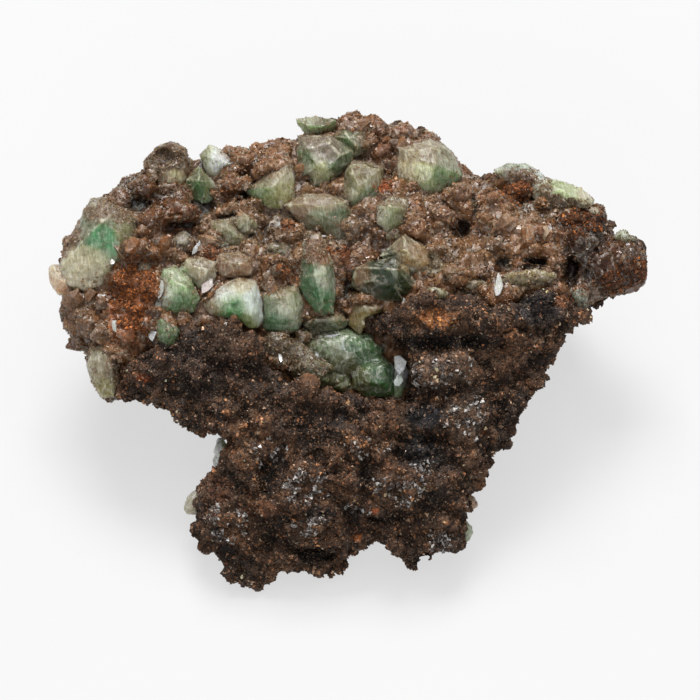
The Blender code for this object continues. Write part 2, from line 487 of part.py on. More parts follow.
def close_mesh(name, corners, faces):
    """A mesh of the given faces, with every face pointing outwards."""
    mesh = bpy.data.meshes.new(name)
    mesh.from_pydata([tuple(c) for c in corners], [], faces)
    shell = bmesh.new()
    shell.from_mesh(mesh)
    bmesh.ops.remove_doubles(shell, verts=shell.verts, dist=1e-7)
    bmesh.ops.triangulate(shell, faces=shell.faces)
    bmesh.ops.recalc_face_normals(shell, faces=shell.faces)
    if shell.calc_volume(signed=True) < 0.0:
        bmesh.ops.reverse_faces(shell, faces=shell.faces)
    shell.to_mesh(mesh)
    shell.free()
    return mesh


def make_crust():
    """The druse: a rough top with small crystals, a smooth underside and a plain edge."""
    loop = druse_loop()
    count = len(loop)
    top = [(u, v, crust_height(u, v)) for u, v in loop]
    runs = loop_edges(0, count)
    taken = []
    for grain in small_crystals(loop):
        ring, crown = crystal_corners(grain)
        runs += loop_edges(len(top), len(ring))
        top += ring
        runs += loop_edges(len(top), len(crown))
        top += crown
        taken.append(grain)
    for u, v in spread_points(loop, DRUSE_PITCH, 0.6 * DRUSE_PITCH, 3):
        if all(math.hypot(u - g[0], v - g[1]) > g[2] + 0.45 for g in taken):
            top.append((u, v, crust_height(u, v)))
    upper = sheet(top, runs, loop)

    low = [(u, v, crust_underside(u, v)) for u, v in loop]
    for u, v in spread_points(loop, BURIED_PITCH, 0.5 * BURIED_PITCH, 5):
        low.append((u, v, crust_underside(u, v)))
    lower = sheet(low, loop_edges(0, count), loop)

    corners = [face_point(*p) for p in top + low]
    faces = list(upper)
    faces += [[len(top) + i for i in face][::-1] for face in lower]
    for i in range(count):
        j = (i + 1) % count
        faces.append([i, j, len(top) + j])
        faces.append([i, len(top) + j, len(top) + i])
    mesh = close_mesh("brown_druse_crust", corners, faces)
    return new_object("brown_druse_crust", mesh, "druse")


def rock_rim():
    """The rock's rim: (station along the outline, u, v, whether it is under the crust)."""
    rim = []
    count = len(OUTLINE)
    for station in range(count):
        u, v = OUTLINE[station]
        buried = station <= DRUSE_RIGHT or station >= DRUSE_LEFT
        rim.append((float(station), u, v, buried))
    for joint, way in ((DRUSE_RIGHT, 1), (DRUSE_LEFT, -1)):
        here, beyond = OUTLINE[joint], OUTLINE[joint + way]
        length = math.dist(here, beyond)
        for reach, buried in ((LEDGE_FOOT, True), (LEDGE_TOP, False)):
            u, v = along(here, beyond, reach / length)
            rim.append((joint + way * reach / length, u, v, buried))
    rim.sort()
    return rim


def foot_point(station):
    """The point on the ground under a station of the outline, in metres."""
    marks = sorted(FOOT)
    marks.append(marks[0] + len(OUTLINE))
    for first, last in zip(marks, marks[1:]):
        if first <= station <= last:
            x, y = along(FOOT[first], FOOT[last % len(OUTLINE)], (station - first) / (last - first))
            return Vector((x + FACE_ORIGIN[0], y + FACE_ORIGIN[1], 0.0)) * MM
    return foot_point(station + len(OUTLINE))


def wall_point(rim, foot, share):
    """A point of the side wall: the back bellies out, and shallow pits break the surface."""
    at_back = min(1.0, max(0.0, (rim.y / MM - 6.0) / 10.0))
    inwards = share ** (1.0 + WALL_BELLY * at_back)
    point = Vector((
        rim.x + (foot.x - rim.x) * inwards,
        rim.y + (foot.y - rim.y) * inwards,
        rim.z * (1.0 - share)))
    pit = min(1.0, max(0.0, 0.5 + 1.3 * noise.noise(point / (4.6 * MM))))
    pit += 0.35 * noise.noise(point / (1.9 * MM))
    depth = pit * WALL_PITS * MM * math.sin(math.pi * share)
    depth *= min(1.0, rim.z / (WALL_TALL * MM))
    middle = Vector((0.0, (rim.y + foot.y) * 0.25, point.z))
    return point + (middle - point).normalized() * depth


def make_rock():
    """The limonite: the broken face, the bed under the crust, the walls and the flat foot."""
    rim = rock_rim()
    loop = [(u, v) for _, u, v, _ in rim]
    count = len(rim)
    points = []
    for _, u, v, buried in rim:
        points.append((u, v, crust_underside(u, v) - SEAM if buried else dark_height(u, v)))
    runs = loop_edges(0, count)

    stations = [station for station, *_ in rim]
    right = stations.index(DRUSE_RIGHT)
    left = stations.index(DRUSE_LEFT)
    for offset, right_end, left_end, buried in (
            (LEDGE_FOOT, right + 1, left - 1, True), (LEDGE_TOP, right + 2, left - 2, False)):
        first = len(points)
        edge = shifted_edge(offset)
        for u, v in edge:
            points.append((u, v, crust_underside(u, v) - SEAM if buried else dark_height(u, v)))
        runs += run_edges([left_end] + list(range(first, first + len(edge))) + [right_end])

    druse = druse_loop()
    edge = [OUTLINE[DRUSE_LEFT]] + DRUSE_EDGE + [OUTLINE[DRUSE_RIGHT]]
    for u, v in spread_points(druse, BURIED_PITCH, 0.5 * BURIED_PITCH, 5):
        points.append((u, v, crust_underside(u, v) - SEAM))
    for u, v in spread_points(loop, DARK_PITCH, 0.62 * DARK_PITCH, 8):
        far = distance(u, v, edge, closed=False) > LEDGE_TOP + 0.5 * DARK_PITCH
        if far and not inside(u, v, druse):
            points.append((u, v, dark_height(u, v)))
    front = sheet(points, runs, loop)

    corners = [face_point(*p) for p in points]
    faces = list(front)
    feet = [foot_point(station) for station in stations]
    ring = list(range(count))
    for share in WALL_STEPS + (1.0,):
        first = len(corners)
        for i in range(count):
            corners.append(wall_point(corners[i], feet[i], share) if share < 1.0 else feet[i])
        for i in range(count):
            j = (i + 1) % count
            faces.append([ring[i], ring[j], first + j])
            faces.append([ring[i], first + j, first + i])
        ring = list(range(first, first + count))
    faces.append(ring[::-1])
    mesh = close_mesh("limonite_matrix", corners, faces)
    return new_object("limonite_matrix", mesh, "limonite")


def surface_under(objects):
    """The triangles of some objects, for finding the ground at a point of the face."""
    corners, faces = [], []
    for obj in objects:
        first = len(corners)
        corners += [v.co.copy() for v in obj.data.vertices]
        faces += [[first + i for i in p.vertices] for p in obj.data.polygons]
    return BVHTree.FromPolygons(corners, faces)


def ground(tree, u, v):
    """The height w of the ground at a point, or the druse's own height beyond the rim."""
    start = face_point(u, v, 30.0)
    way = (face_point(u, v, 0.0) - start).normalized()
    hit = tree.ray_cast(start, way)
    if hit[0] is None:
        return relief(u, v, DRUSE_RELIEF) - 0.8
    return 30.0 - hit[3] / MM


def ground_cutter(tree):
    """A closed block whose top runs just over the ground, which trims the crystals' roots."""
    steps = int(2 * CUTTER_REACH / CUTTER_PITCH)
    side = steps + 1

    def place(i, j):
        """The point of the drawing plane at a step of the block's grid, which may be a half."""
        start_u, start_v = CUTTER_SHIFT[0] - CUTTER_REACH, CUTTER_SHIFT[1] - CUTTER_REACH
        return start_u + i * CUTTER_PITCH, start_v + j * CUTTER_PITCH

    fine = {}
    for i in range(-1, 2 * steps + 2):
        for j in range(-1, 2 * steps + 2):
            fine[i, j] = ground(tree, *place(i / 2, j / 2))
    corners, faces = [], []
    for j in range(side):
        for i in range(side):
            near = [fine[2 * i + a, 2 * j + b] for a in (-1, 0, 1) for b in (-1, 0, 1)]
            corners.append(face_point(*place(i, j), max(near) + CLEARANCE))
    for j in range(side):
        for i in range(side):
            corners.append(face_point(*place(i, j), CUTTER_FLOOR))
    layer = side * side
    for j in range(steps):
        for i in range(steps):
            a = j * side + i
            quad = [a, a + 1, a + side + 1, a + side]
            faces.append([quad[0], quad[1], quad[2]])
            faces.append([quad[0], quad[2], quad[3]])
            faces.append([layer + k for k in reversed(quad)])
    border = [i for i in range(steps)] + [steps + j * side for j in range(steps)]
    border += [layer - 1 - i for i in range(steps)] + [layer - side - j * side for j in range(steps)]
    for a, b in zip(border, border[1:] + border[:1]):
        faces.append([b, a, layer + a, layer + b])
    cutter = new_object("ground_cutter", close_mesh("ground_cutter", corners, faces), "limonite")
    cutter.hide_render = True
    cutter.display_type = "WIRE"
    return cutter


def hull_mesh(name, points):
    """The convex hull of some points in space."""
    shell = bmesh.new()
    for point in points:
        shell.verts.new(point)
    made = bmesh.ops.convex_hull(shell, input=shell.verts)
    spare = {g for g in made["geom_interior"] + made["geom_unused"] if isinstance(g, bmesh.types.BMVert)}
    bmesh.ops.delete(shell, geom=list(spare), context="VERTS")
    bmesh.ops.recalc_face_normals(shell, faces=shell.faces)
    mesh = bpy.data.meshes.new(name)
    shell.to_mesh(mesh)
    shell.free()
    return mesh


def hull_points(tree, hull):
    """The corners of one crystal in space, with its root below them."""
    middle_u = sum(c[0] for c in hull) / len(hull)
    middle_v = sum(c[1] for c in hull) / len(hull)
    level = ground(tree, middle_u, middle_v) + SOCKET_DEPTH + STAND
    points = [face_point(u, v, level + h) for u, v, h in hull]
    points += [face_point(u, v, level + ROOT) for u, v, h in hull if h < 1.0]
    return points


def combine(obj, other, operation):
    """Joins or cuts an object with another for good."""
    step = obj.modifiers.new(operation.lower(), "BOOLEAN")
    step.operation = operation
    step.solver = "EXACT"
    step.object = other
    bpy.context.view_layer.update()
    graph = bpy.context.evaluated_depsgraph_get()
    mesh = bpy.data.meshes.new_from_object(obj.evaluated_get(graph))
    obj.modifiers.clear()
    obj.data = mesh


def keep_largest(obj):
    """Drops every body of an object but the largest."""
    shell = bmesh.new()
    shell.from_mesh(obj.data)
    bmesh.ops.triangulate(shell, faces=shell.faces)
    left = set(shell.verts)
    bodies = []
    while left:
        queue = [left.pop()]
        body = set(queue)
        while queue:
            for edge in queue.pop().link_edges:
                for vert in edge.verts:
                    if vert in left:
                        left.discard(vert)
                        body.add(vert)
                        queue.append(vert)
        bodies.append(body)
    bodies.sort(key=len)
    spare = [vert for body in bodies[:-1] for vert in body]
    bmesh.ops.delete(shell, geom=spare, context="VERTS")
    bmesh.ops.recalc_face_normals(shell, faces=shell.faces)
    shell.to_mesh(obj.data)
    shell.free()


def make_crystals(tree, cutter):
    """Every green crystal: its hulls joined, then trimmed to the ground and to its neighbours."""
    made = []
    for name, hulls in CRYSTALS.items():
        bodies = [hull_points(tree, hull) for hull in hulls]
        crystal = new_object(name, hull_mesh(name, bodies[0]), "adamite")
        for points in bodies[1:]:
            partner = bpy.data.objects.new("partner", hull_mesh("partner", points))
            bpy.context.scene.collection.objects.link(partner)
            combine(crystal, partner, "UNION")
            bpy.data.objects.remove(partner)
        combine(crystal, cutter, "DIFFERENCE")
        for other in made:
            trim_beside(crystal, other)
        keep_largest(crystal)
        made.append((crystal, bodies))


def trim_beside(crystal, other):
    """Keeps a crystal clear of one made before it, where their roots come close."""
    neighbour, bodies = other
    spots = [crystal.data.vertices[i].co for i in range(len(crystal.data.vertices))]
    low = Vector([min(s[k] for s in spots) for k in range(3)])
    high = Vector([max(s[k] for s in spots) for k in range(3)])
    for points in bodies:
        margin = NEIGHBOUR_GAP * MM
        if any(min(p[k] for p in points) - margin > high[k] for k in range(3)):
            continue
        if any(max(p[k] for p in points) + margin < low[k] for k in range(3)):
            continue
        middle = sum(points, Vector()) / len(points)
        wide = [p + (p - middle).normalized() * margin * 1.3 for p in points]
        guard = bpy.data.objects.new("guard", hull_mesh("guard", wide))
        bpy.context.scene.collection.objects.link(guard)
        combine(crystal, guard, "DIFFERENCE")
        bpy.data.objects.remove(guard)


def main():
    for obj in list(bpy.data.objects):
        bpy.data.objects.remove(obj)
    crust = make_crust()
    rock = make_rock()
    tree = surface_under([crust, rock])
    make_crystals(tree, ground_cutter(tree))


main()
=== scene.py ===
"""The finished looks of an adamite specimen: limonite rock, brown druse and green crystals.

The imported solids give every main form. Each class below takes its own solids, remeshes or
refines them, adds the grains and small crystals that cover the real surface, and dresses the
result with its own finish. Places on the specimen's face are given on a drawing plane: u to
the right, v up the face, w out of it. Sizes and places are in millimetres, unless it is said
that they are in metres.
"""

import logging
import math
from contextlib import contextmanager
from dataclasses import dataclass, field, replace
from enum import Enum
from typing import Callable, Iterator, Optional, Sequence

import bmesh
import bpy
import numpy as np
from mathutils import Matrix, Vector, noise
from mathutils.bvhtree import BVHTree


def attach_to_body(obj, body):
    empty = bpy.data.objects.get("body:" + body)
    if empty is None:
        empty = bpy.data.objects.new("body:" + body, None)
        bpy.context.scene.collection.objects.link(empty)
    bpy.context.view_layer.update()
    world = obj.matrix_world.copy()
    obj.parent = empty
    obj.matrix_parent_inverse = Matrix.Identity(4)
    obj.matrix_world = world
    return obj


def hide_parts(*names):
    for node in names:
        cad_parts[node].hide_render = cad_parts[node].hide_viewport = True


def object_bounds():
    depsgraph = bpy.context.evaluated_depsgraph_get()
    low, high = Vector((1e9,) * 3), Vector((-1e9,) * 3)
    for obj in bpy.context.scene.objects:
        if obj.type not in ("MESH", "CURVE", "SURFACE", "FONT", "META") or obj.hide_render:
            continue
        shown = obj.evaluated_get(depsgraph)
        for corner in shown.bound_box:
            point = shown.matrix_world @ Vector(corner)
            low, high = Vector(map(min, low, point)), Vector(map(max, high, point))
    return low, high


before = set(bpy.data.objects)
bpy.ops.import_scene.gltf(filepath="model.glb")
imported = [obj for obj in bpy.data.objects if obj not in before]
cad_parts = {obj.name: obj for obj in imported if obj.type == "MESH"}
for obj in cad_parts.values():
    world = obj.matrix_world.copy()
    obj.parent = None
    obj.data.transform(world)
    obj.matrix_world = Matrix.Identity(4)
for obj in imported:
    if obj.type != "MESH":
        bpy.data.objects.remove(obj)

CAD_BOX = [list(corner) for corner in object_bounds()]
MM = 0.001
LOG = logging.getLogger("adamite")

Array = np.ndarray
Chance = np.random.Generator
Colour = tuple[int, int, int]
Material = bpy.types.Material
Mesh = bpy.types.Mesh
Pair = tuple[float, float]
Piece = bpy.types.Object
Socket = bpy.types.NodeSocket
Spot = tuple[float, float, Colour]
Triple = tuple[float, float, float]


class Slot(Enum):
    """The record's material slots."""

    LIMONITE = "limonite"
    DRUSE = "druse"
    ADAMITE = "adamite"
    FROSTED = "frosted"


class Form(Enum):
    """The shapes of the small pieces that cover the surfaces."""

    GRAIN = "an angular crumb with six faces"
    SUGAR = "a skewed wedge with flat faces"
    SPLINTER = "a sharp splinter with four faces"
    POINT = "a six-sided crystal with a blunt point"
    BALL = "a round knob"


@dataclass(frozen=True)
class Face:
    """The drawing plane over the specimen's face.

    Attributes:
        tilt: elevation of the plane's normal above the ground, in radians.
        origin: where u = v = w = 0 lies.
    """

    tilt: float = math.radians(58.0)
    origin: Triple = (0.15, -4.2, 17.0)

    def axes(self) -> Array:
        """The plane's own axes u, v and w as rows, in space."""
        sine, cosine = math.sin(self.tilt), math.cos(self.tilt)
        return np.array([[1.0, 0.0, 0.0], [0.0, sine, cosine], [0.0, -cosine, sine]])

    def to_space(self, uvw: Array) -> Array:
        """Points in metres for rows (u, v, w) in millimetres."""
        return (np.asarray(uvw, float) @ self.axes() + np.array(self.origin)) * MM

    def to_face(self, points: Array) -> Array:
        """Rows (u, v, w) in millimetres for points in metres."""
        return (np.asarray(points, float) / MM - np.array(self.origin)) @ self.axes().T


FACE = Face()
UP, OUT = FACE.axes()[1:]


def unit(values: Array) -> Array:
    """The values, held between 0 and 1."""
    return np.clip(values, 0.0, 1.0)


def falling(distance: Array, width: float) -> Array:
    """A share that falls from 1 at no distance towards 0 beyond a width."""
    return np.exp(-(distance / width) ** 2)


def turned(at: Pair, u: Array, v: Array, degrees: float) -> tuple[Array, Array]:
    """Places u and v, turned about nought by some degrees and then moved."""
    sine, cosine = math.sin(math.radians(degrees)), math.cos(math.radians(degrees))
    return at[0] + u * cosine - v * sine, at[1] + u * sine + v * cosine


@dataclass(frozen=True)
class Patch:
    """A soft oval patch of colour on the face.

    Attributes:
        at: its middle (u, v).
        reach: its half width and half height.
        colour: its colour as display red, green and blue.
        strength: how much of the colour below it covers.
        turn: how far it is turned, in degrees.
    """

    at: Pair
    reach: Pair
    colour: Colour
    strength: float = 0.85
    turn: float = 0.0

    def weight(self, uvw: Array, ragged: Array) -> Array:
        """How strongly the patch covers each point.

        Args:
            uvw: rows (u, v, w).
            ragged: a noise value for each point, which frays the patch's edge.

        Returns:
            One weight from 0 to 1 for each point.
        """
        a, b = turned((0.0, 0.0), uvw[:, 0] - self.at[0], uvw[:, 1] - self.at[1], -self.turn)
        a, b = a / self.reach[0], b / self.reach[1]
        return unit((1.0 - (a * a + b * b) + 0.9 * ragged) * 2.2) * self.strength


def covered(patches: Sequence[Patch], uvw: Array, ragged: Array) -> Array:
    """How strongly the strongest of some patches covers each point."""
    return np.max([patch.weight(uvw, ragged) for patch in patches], axis=0)


@dataclass(frozen=True)
class Pit:
    """A hollow pressed into the face, or a mound on it.

    Attributes:
        at: its middle (u, v).
        reach: its half width and half height.
        depth: how deep it is, less than nought for a mound.
    """

    at: Pair
    reach: Pair
    depth: float

    def share(self, uvw: Array) -> Array:
        """How fully it takes hold of each point, from 0 to 1."""
        a, b = ((uvw[:, side] - self.at[side]) / self.reach[side] for side in (0, 1))
        return unit(1.4 - (a * a + b * b)) ** 0.7


def sunk(pits: Sequence[Pit], uvw: Array) -> Array:
    """How far all the pits together lower each point, in millimetres."""
    return sum(pit.depth * pit.share(uvw) for pit in pits)


def pit_shade(pits: Sequence[Pit], uvw: Array, dark: float) -> Array:
    """Painted shade: how light each point stays, where hollows are painted darker by up to a share."""
    hollows = [1.0 - dark * pit.share(uvw) for pit in pits if pit.depth > 0.0]
    return np.prod(hollows, axis=0)


def linear(colour: Array) -> Array:
    """Linear light for display colours of 0 to 255."""
    share = np.asarray(colour, float) / 255.0
    return np.where(share <= 0.04045, share / 12.92, ((share + 0.055) / 1.055) ** 2.4)


def mixed(colour: Array, other: Array, share: Array) -> Array:
    """Colours, each moved towards another one by its own share of 0 to 1."""
    return colour * (1.0 - share[:, None]) + other * share[:, None]


def noise_at(points: Array, size: float, seed: float, octaves: int = 3) -> Array:
    """Fractal noise at points in millimetres.

    Args:
        points: rows of coordinates in millimetres.
        size: the size of the largest lumps, in millimetres.
        seed: shifts the noise, so that two uses differ.
        octaves: how many finer layers it has.

    Returns:
        One value for each point, mostly between -1 and 1.
    """
    shift = Vector((seed, 1.7 * seed, -seed))
    scaled = (np.asarray(points, float) / size).tolist()
    return np.array([noise.fractal(Vector(p) + shift, 0.9, 2.1, octaves) for p in scaled])


@dataclass(frozen=True)
class Bumps:
    """One layer of relief on a surface.

    Attributes:
        size: the spacing of its lumps.
        depth: the height of its lumps.
        seed: shifts the pattern.
        pebbles: whether the lumps are rounded pebbles side by side, or free noise.
    """

    size: float
    depth: float
    seed: float
    pebbles: bool = True

    def heights(self, points: Array) -> Array:
        """The layer's height.

        Args:
            points: rows of coordinates in millimetres.

        Returns:
            One height in millimetres for each point.
        """
        if not self.pebbles:
            return self.depth * noise_at(points, self.size, self.seed)
        shift = Vector((self.seed, -self.seed, 0.5 * self.seed))
        scaled = (np.asarray(points, float) / self.size).tolist()
        seam = np.array([noise.voronoi(Vector(p) + shift)[0][0] for p in scaled])
        return self.depth * (unit(1.0 - seam * seam * 2.2) - 0.6)


@dataclass(frozen=True)
class Mixture:
    """The colours of small pieces that differ from each other.

    Attributes:
        spread: how much lighter or darker a piece can be.
        others: colours that some pieces take instead, each with its share of the pieces.
        blend: how fully such a piece takes the other colour.
    """

    spread: float
    others: tuple[tuple[float, Colour], ...]
    blend: float = 0.75

    def over(self, colours: Array, rng: Chance) -> Array:
        """One linear colour for each piece.

        Args:
            colours: the usual linear colour at each piece.
            rng: the source of chance.

        Returns:
            Rows of linear colour.
        """
        chance = rng.random(len(colours))
        toned = colours.copy()
        start = 0.0
        for share, colour in self.others:
            taken = (chance >= start) & (chance < start + share)
            toned[taken] = toned[taken] * (1.0 - self.blend) + linear(colour) * self.blend
            start += share
        return toned * np.exp(self.spread * rng.normal(size=(len(colours), 1)))


def in_loop(uvw: Array, loop: Sequence[Pair]) -> Array:
    """Which points lie inside a closed loop.

    Args:
        uvw: rows (u, v, w).
        loop: the loop's corners.

    Returns:
        True or False for each point.
    """
    found = np.zeros(len(uvw), bool)
    for (u0, v0), (u1, v1) in zip(loop, list(loop[1:]) + [loop[0]]):
        if v0 != v1:
            crosses = (v0 > uvw[:, 1]) != (v1 > uvw[:, 1])
            found ^= crosses & (uvw[:, 0] < u0 + (uvw[:, 1] - v0) / (v1 - v0) * (u1 - u0))
    return found


def edge_distance(uv: Array) -> Array:
    """How far points are from the crust's lower edge.

    Args:
        uv: rows (u, v).

    Returns:
        One distance in millimetres for each point.
    """
    found = np.full(len(uv), np.inf)
    corners = np.array(CRUST_EDGE)
    for start, end in zip(corners, corners[1:]):
        along = end - start
        share = unit((uv - start) @ along / (along @ along))
        found = np.minimum(found, np.linalg.norm(uv - start - share[:, None] * along, axis=1))
    return found


def numbers(items: Sequence, name: str, width: int, kind: type = np.int32) -> Array:
    """One property of every item, as rows of numbers.

    Args:
        items: the items, such as a mesh's vertices.
        name: the property.
        width: how many numbers it has.
        kind: their type.

    Returns:
        One row for each item.
    """
    values = np.zeros(len(items) * width, kind)
    items.foreach_get(name, values)
    return values.reshape(-1, width)


def mesh_points(mesh: Mesh) -> Array:
    """The mesh's vertices as rows of coordinates."""
    return numbers(mesh.vertices, "co", 3, np.float32).astype(float)


def mesh_normals(mesh: Mesh) -> Array:
    """The mesh's vertex normals as rows."""
    return numbers(mesh.vertex_normals, "vector", 3, np.float32).astype(float)


@dataclass(frozen=True)
class Bounds:
    """The specimen's own box, which everything stays in, and its right arm's round end.

    Attributes:
        arm: the middle of the arm's end (u, v).
        radius: the radius of the arm's end.
        full: the share of that radius where the rounding starts.
        ease: how softly it starts, as a share of the radius.
    """

    arm: Pair = (26.8, 9.0)
    radius: float = 3.4
    full: float = 0.8
    ease: float = 0.3

    def kept(self, points: Array, margin: float = 0.5) -> Array:
        """Points moved gently inside the box and the arm's end.

        Args:
            points: rows of coordinates in metres.
            margin: how near a side of the box points start to be held back, in millimetres.

        Returns:
            The moved points.
        """
        low, high, band = np.array(CAD_BOX[0]), np.array(CAD_BOX[1]), margin * MM
        over = np.maximum(points - (high - band), 0.0)
        under = np.maximum((low + band) - points, 0.0) * (1.0, 1.0, 0.0)
        eased = points - over + band * np.tanh(over / band) + under - band * np.tanh(under / band)
        uvw = FACE.to_face(np.clip(eased, low, high))
        from_arm = (uvw[:, :2] - self.arm) / self.radius
        reach = np.where(from_arm[:, 0] > 0.0, np.linalg.norm(from_arm, axis=1), 0.0)
        spare = np.maximum(reach - self.full, 0.0)
        ragged = np.clip(1.0 + 0.4 * noise_at(uvw, 1.4, 95.0, 2), 0.4, 1.2)
        pull = spare - self.ease * np.tanh(spare / self.ease) * ragged
        pull *= unit(points[:, 2] / MM - 1.0) * self.radius / np.maximum(reach, self.full)
        uvw[:, :2] -= from_arm * np.where(reach > self.full, pull, 0.0)[:, None]
        return np.clip(FACE.to_space(uvw), low, high)


BOUNDS = Bounds()


def set_points(mesh: Mesh, points: Array) -> None:
    """Moves the mesh's vertices, keeping them inside the specimen's own box."""
    mesh.vertices.foreach_set("co", BOUNDS.kept(points).astype(np.float32).ravel())
    mesh.update()


def raised(points: Array, normals: Array, height: Array) -> Array:
    """Points in metres, moved along their normals by heights in millimetres."""
    return points + normals * (height * MM)[:, None]


def new_piece(name: str, data: bpy.types.ID) -> Piece:
    """Links a new object with a mesh, a light or a camera into the scene.

    Args:
        name: its name.
        data: what it holds.

    Returns:
        The object.
    """
    piece = bpy.data.objects.new(name, data)
    bpy.context.scene.collection.objects.link(piece)
    return piece


def meshes_of(*names: str) -> list[Mesh]:
    """The meshes of pieces that have been built."""
    return [bpy.data.objects[name].data for name in names]


def node_mesh(node: str) -> Mesh:
    """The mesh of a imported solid."""
    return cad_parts[node].data


@contextmanager
def reshaping(mesh: Mesh) -> Iterator[bmesh.types.BMesh]:
    """Opens a mesh for changes to its faces, and writes it back.

    Args:
        mesh: the mesh.

    Yields:
        Its faces as a bmesh.
    """
    shell = bmesh.new()
    shell.from_mesh(mesh)
    yield shell
    shell.to_mesh(mesh)
    shell.free()


def copied_node(name: str, node: str) -> Piece:
    """A new object with a copy of a solid's mesh, its corners joined and no material.

    Args:
        name: the object's name.
        node: the solid's node.

    Returns:
        The object.
    """
    mesh = bpy.data.meshes.new(name)
    with reshaping(mesh) as shell:
        shell.from_mesh(node_mesh(node))
        bmesh.ops.remove_doubles(shell, verts=shell.verts, dist=2e-7)
    return new_piece(name, mesh)


def modified(piece: Piece, kind: str, **values: object) -> None:
    """Puts the object through a modifier, which becomes part of its mesh.

    Args:
        piece: the object to change.
        kind: the modifier's type.
        values: the modifier's properties.
    """
    step = piece.modifiers.new(kind, kind)
    for key, value in values.items():
        setattr(step, key, value)
    bpy.context.view_layer.update()
    graph = bpy.context.evaluated_depsgraph_get()
    mesh = bpy.data.meshes.new_from_object(piece.evaluated_get(graph))
    piece.modifiers.clear()
    old, piece.data = piece.data, mesh
    bpy.data.meshes.remove(old)


def fused(piece: Piece, voxel: float, rounds: int = 0) -> None:
    """Rebuilds the object's mesh as one skin of even small faces, and softens its edges.

    Args:
        piece: the object to change.
        voxel: the size of its faces in millimetres.
        rounds: how many times it is smoothed.
    """
    modified(piece, "REMESH", mode="VOXEL", voxel_size=voxel * MM, adaptivity=0.0)
    if rounds:
        modified(piece, "SMOOTH", factor=0.5, iterations=rounds)


def rounded(shell: bmesh.types.BMesh, edges: list, width: float) -> list:
    """Rounds some edges of a bmesh by a width in metres, and gives back the new faces."""
    return bmesh.ops.bevel(shell, geom=edges, offset=width, segments=1, profile=0.5,
                           affect="EDGES", clamp_overlap=True)["faces"]


def refined(shell: bmesh.types.BMesh, edge: float) -> None:
    """Splits a bmesh into triangles until its edges are short.

    Args:
        shell: the bmesh.
        edge: the usual length of an edge, in millimetres.
    """
    longest = edge * 1.5 * MM
    bmesh.ops.triangulate(shell, faces=shell.faces)
    for _ in range(6):
        long_edges = [line for line in shell.edges if line.calc_length() > longest]
        if not long_edges:
            break
        bmesh.ops.subdivide_edges(shell, edges=long_edges, cuts=1)
        bmesh.ops.triangulate(shell, faces=shell.faces)
    bmesh.ops.remove_doubles(shell, verts=shell.verts, dist=1e-3 * MM)


def edge_highlight_vertices(mesh: Mesh) -> Array:
    """Which vertices lie on a face marked for the painted edge highlight.

    Args:
        mesh: the mesh.

    Returns:
        0 or 1 for each vertex.
    """
    flags = numbers(mesh.attributes["edge_highlight"].data, "value", 1)
    owners = np.repeat(flags, numbers(mesh.polygons, "loop_total", 1).ravel())
    found = np.zeros(len(mesh.vertices))
    found[numbers(mesh.loops, "vertex_index", 1).ravel()[owners > 0]] = 1.0
    return found


def shade(mesh: Mesh, smooth: bool = True) -> None:
    """Shades every face of the mesh smooth or flat."""
    mesh.polygons.foreach_set("use_smooth", [smooth] * len(mesh.polygons))
    mesh.update()


def paint(mesh: Mesh, colours: Array, material: Material) -> None:
    """Writes one linear colour for each vertex and gives the mesh its finish.

    Args:
        mesh: the mesh to paint.
        colours: rows of linear red, green and blue.
        material: its finish.
    """
    layer = mesh.color_attributes.new("tint", "FLOAT_COLOR", "POINT")
    full = np.ones((len(mesh.vertices), 4), np.float32)
    full[:, :3] = unit(colours)
    layer.data.foreach_set("color", full.ravel())
    mesh.materials.append(material)


def blended(uv: Array, spots: Sequence[Spot], reach: float) -> Array:
    """Colours blended from the spots around each point.

    Args:
        uv: rows (u, v).
        spots: the listed colours.
        reach: how far a spot spreads, in millimetres.

    Returns:
        Rows of display colour.
    """
    squares = np.array([(uv[:, 0] - u) ** 2 + (uv[:, 1] - v) ** 2 for u, v, _ in spots])
    weights = np.exp((squares.min(axis=0) - squares) / (2.0 * reach * reach))
    weights /= weights.sum(axis=0)
    return weights.T @ np.array([colour for *_, colour in spots], float)


def attach(piece: Piece, node: str) -> None:
    """Lets a finished piece ride on the specimen in place of a solid.

    Args:
        piece: the piece.
        node: the solid's node.
    """
    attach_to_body(piece, "root")
    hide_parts(node)


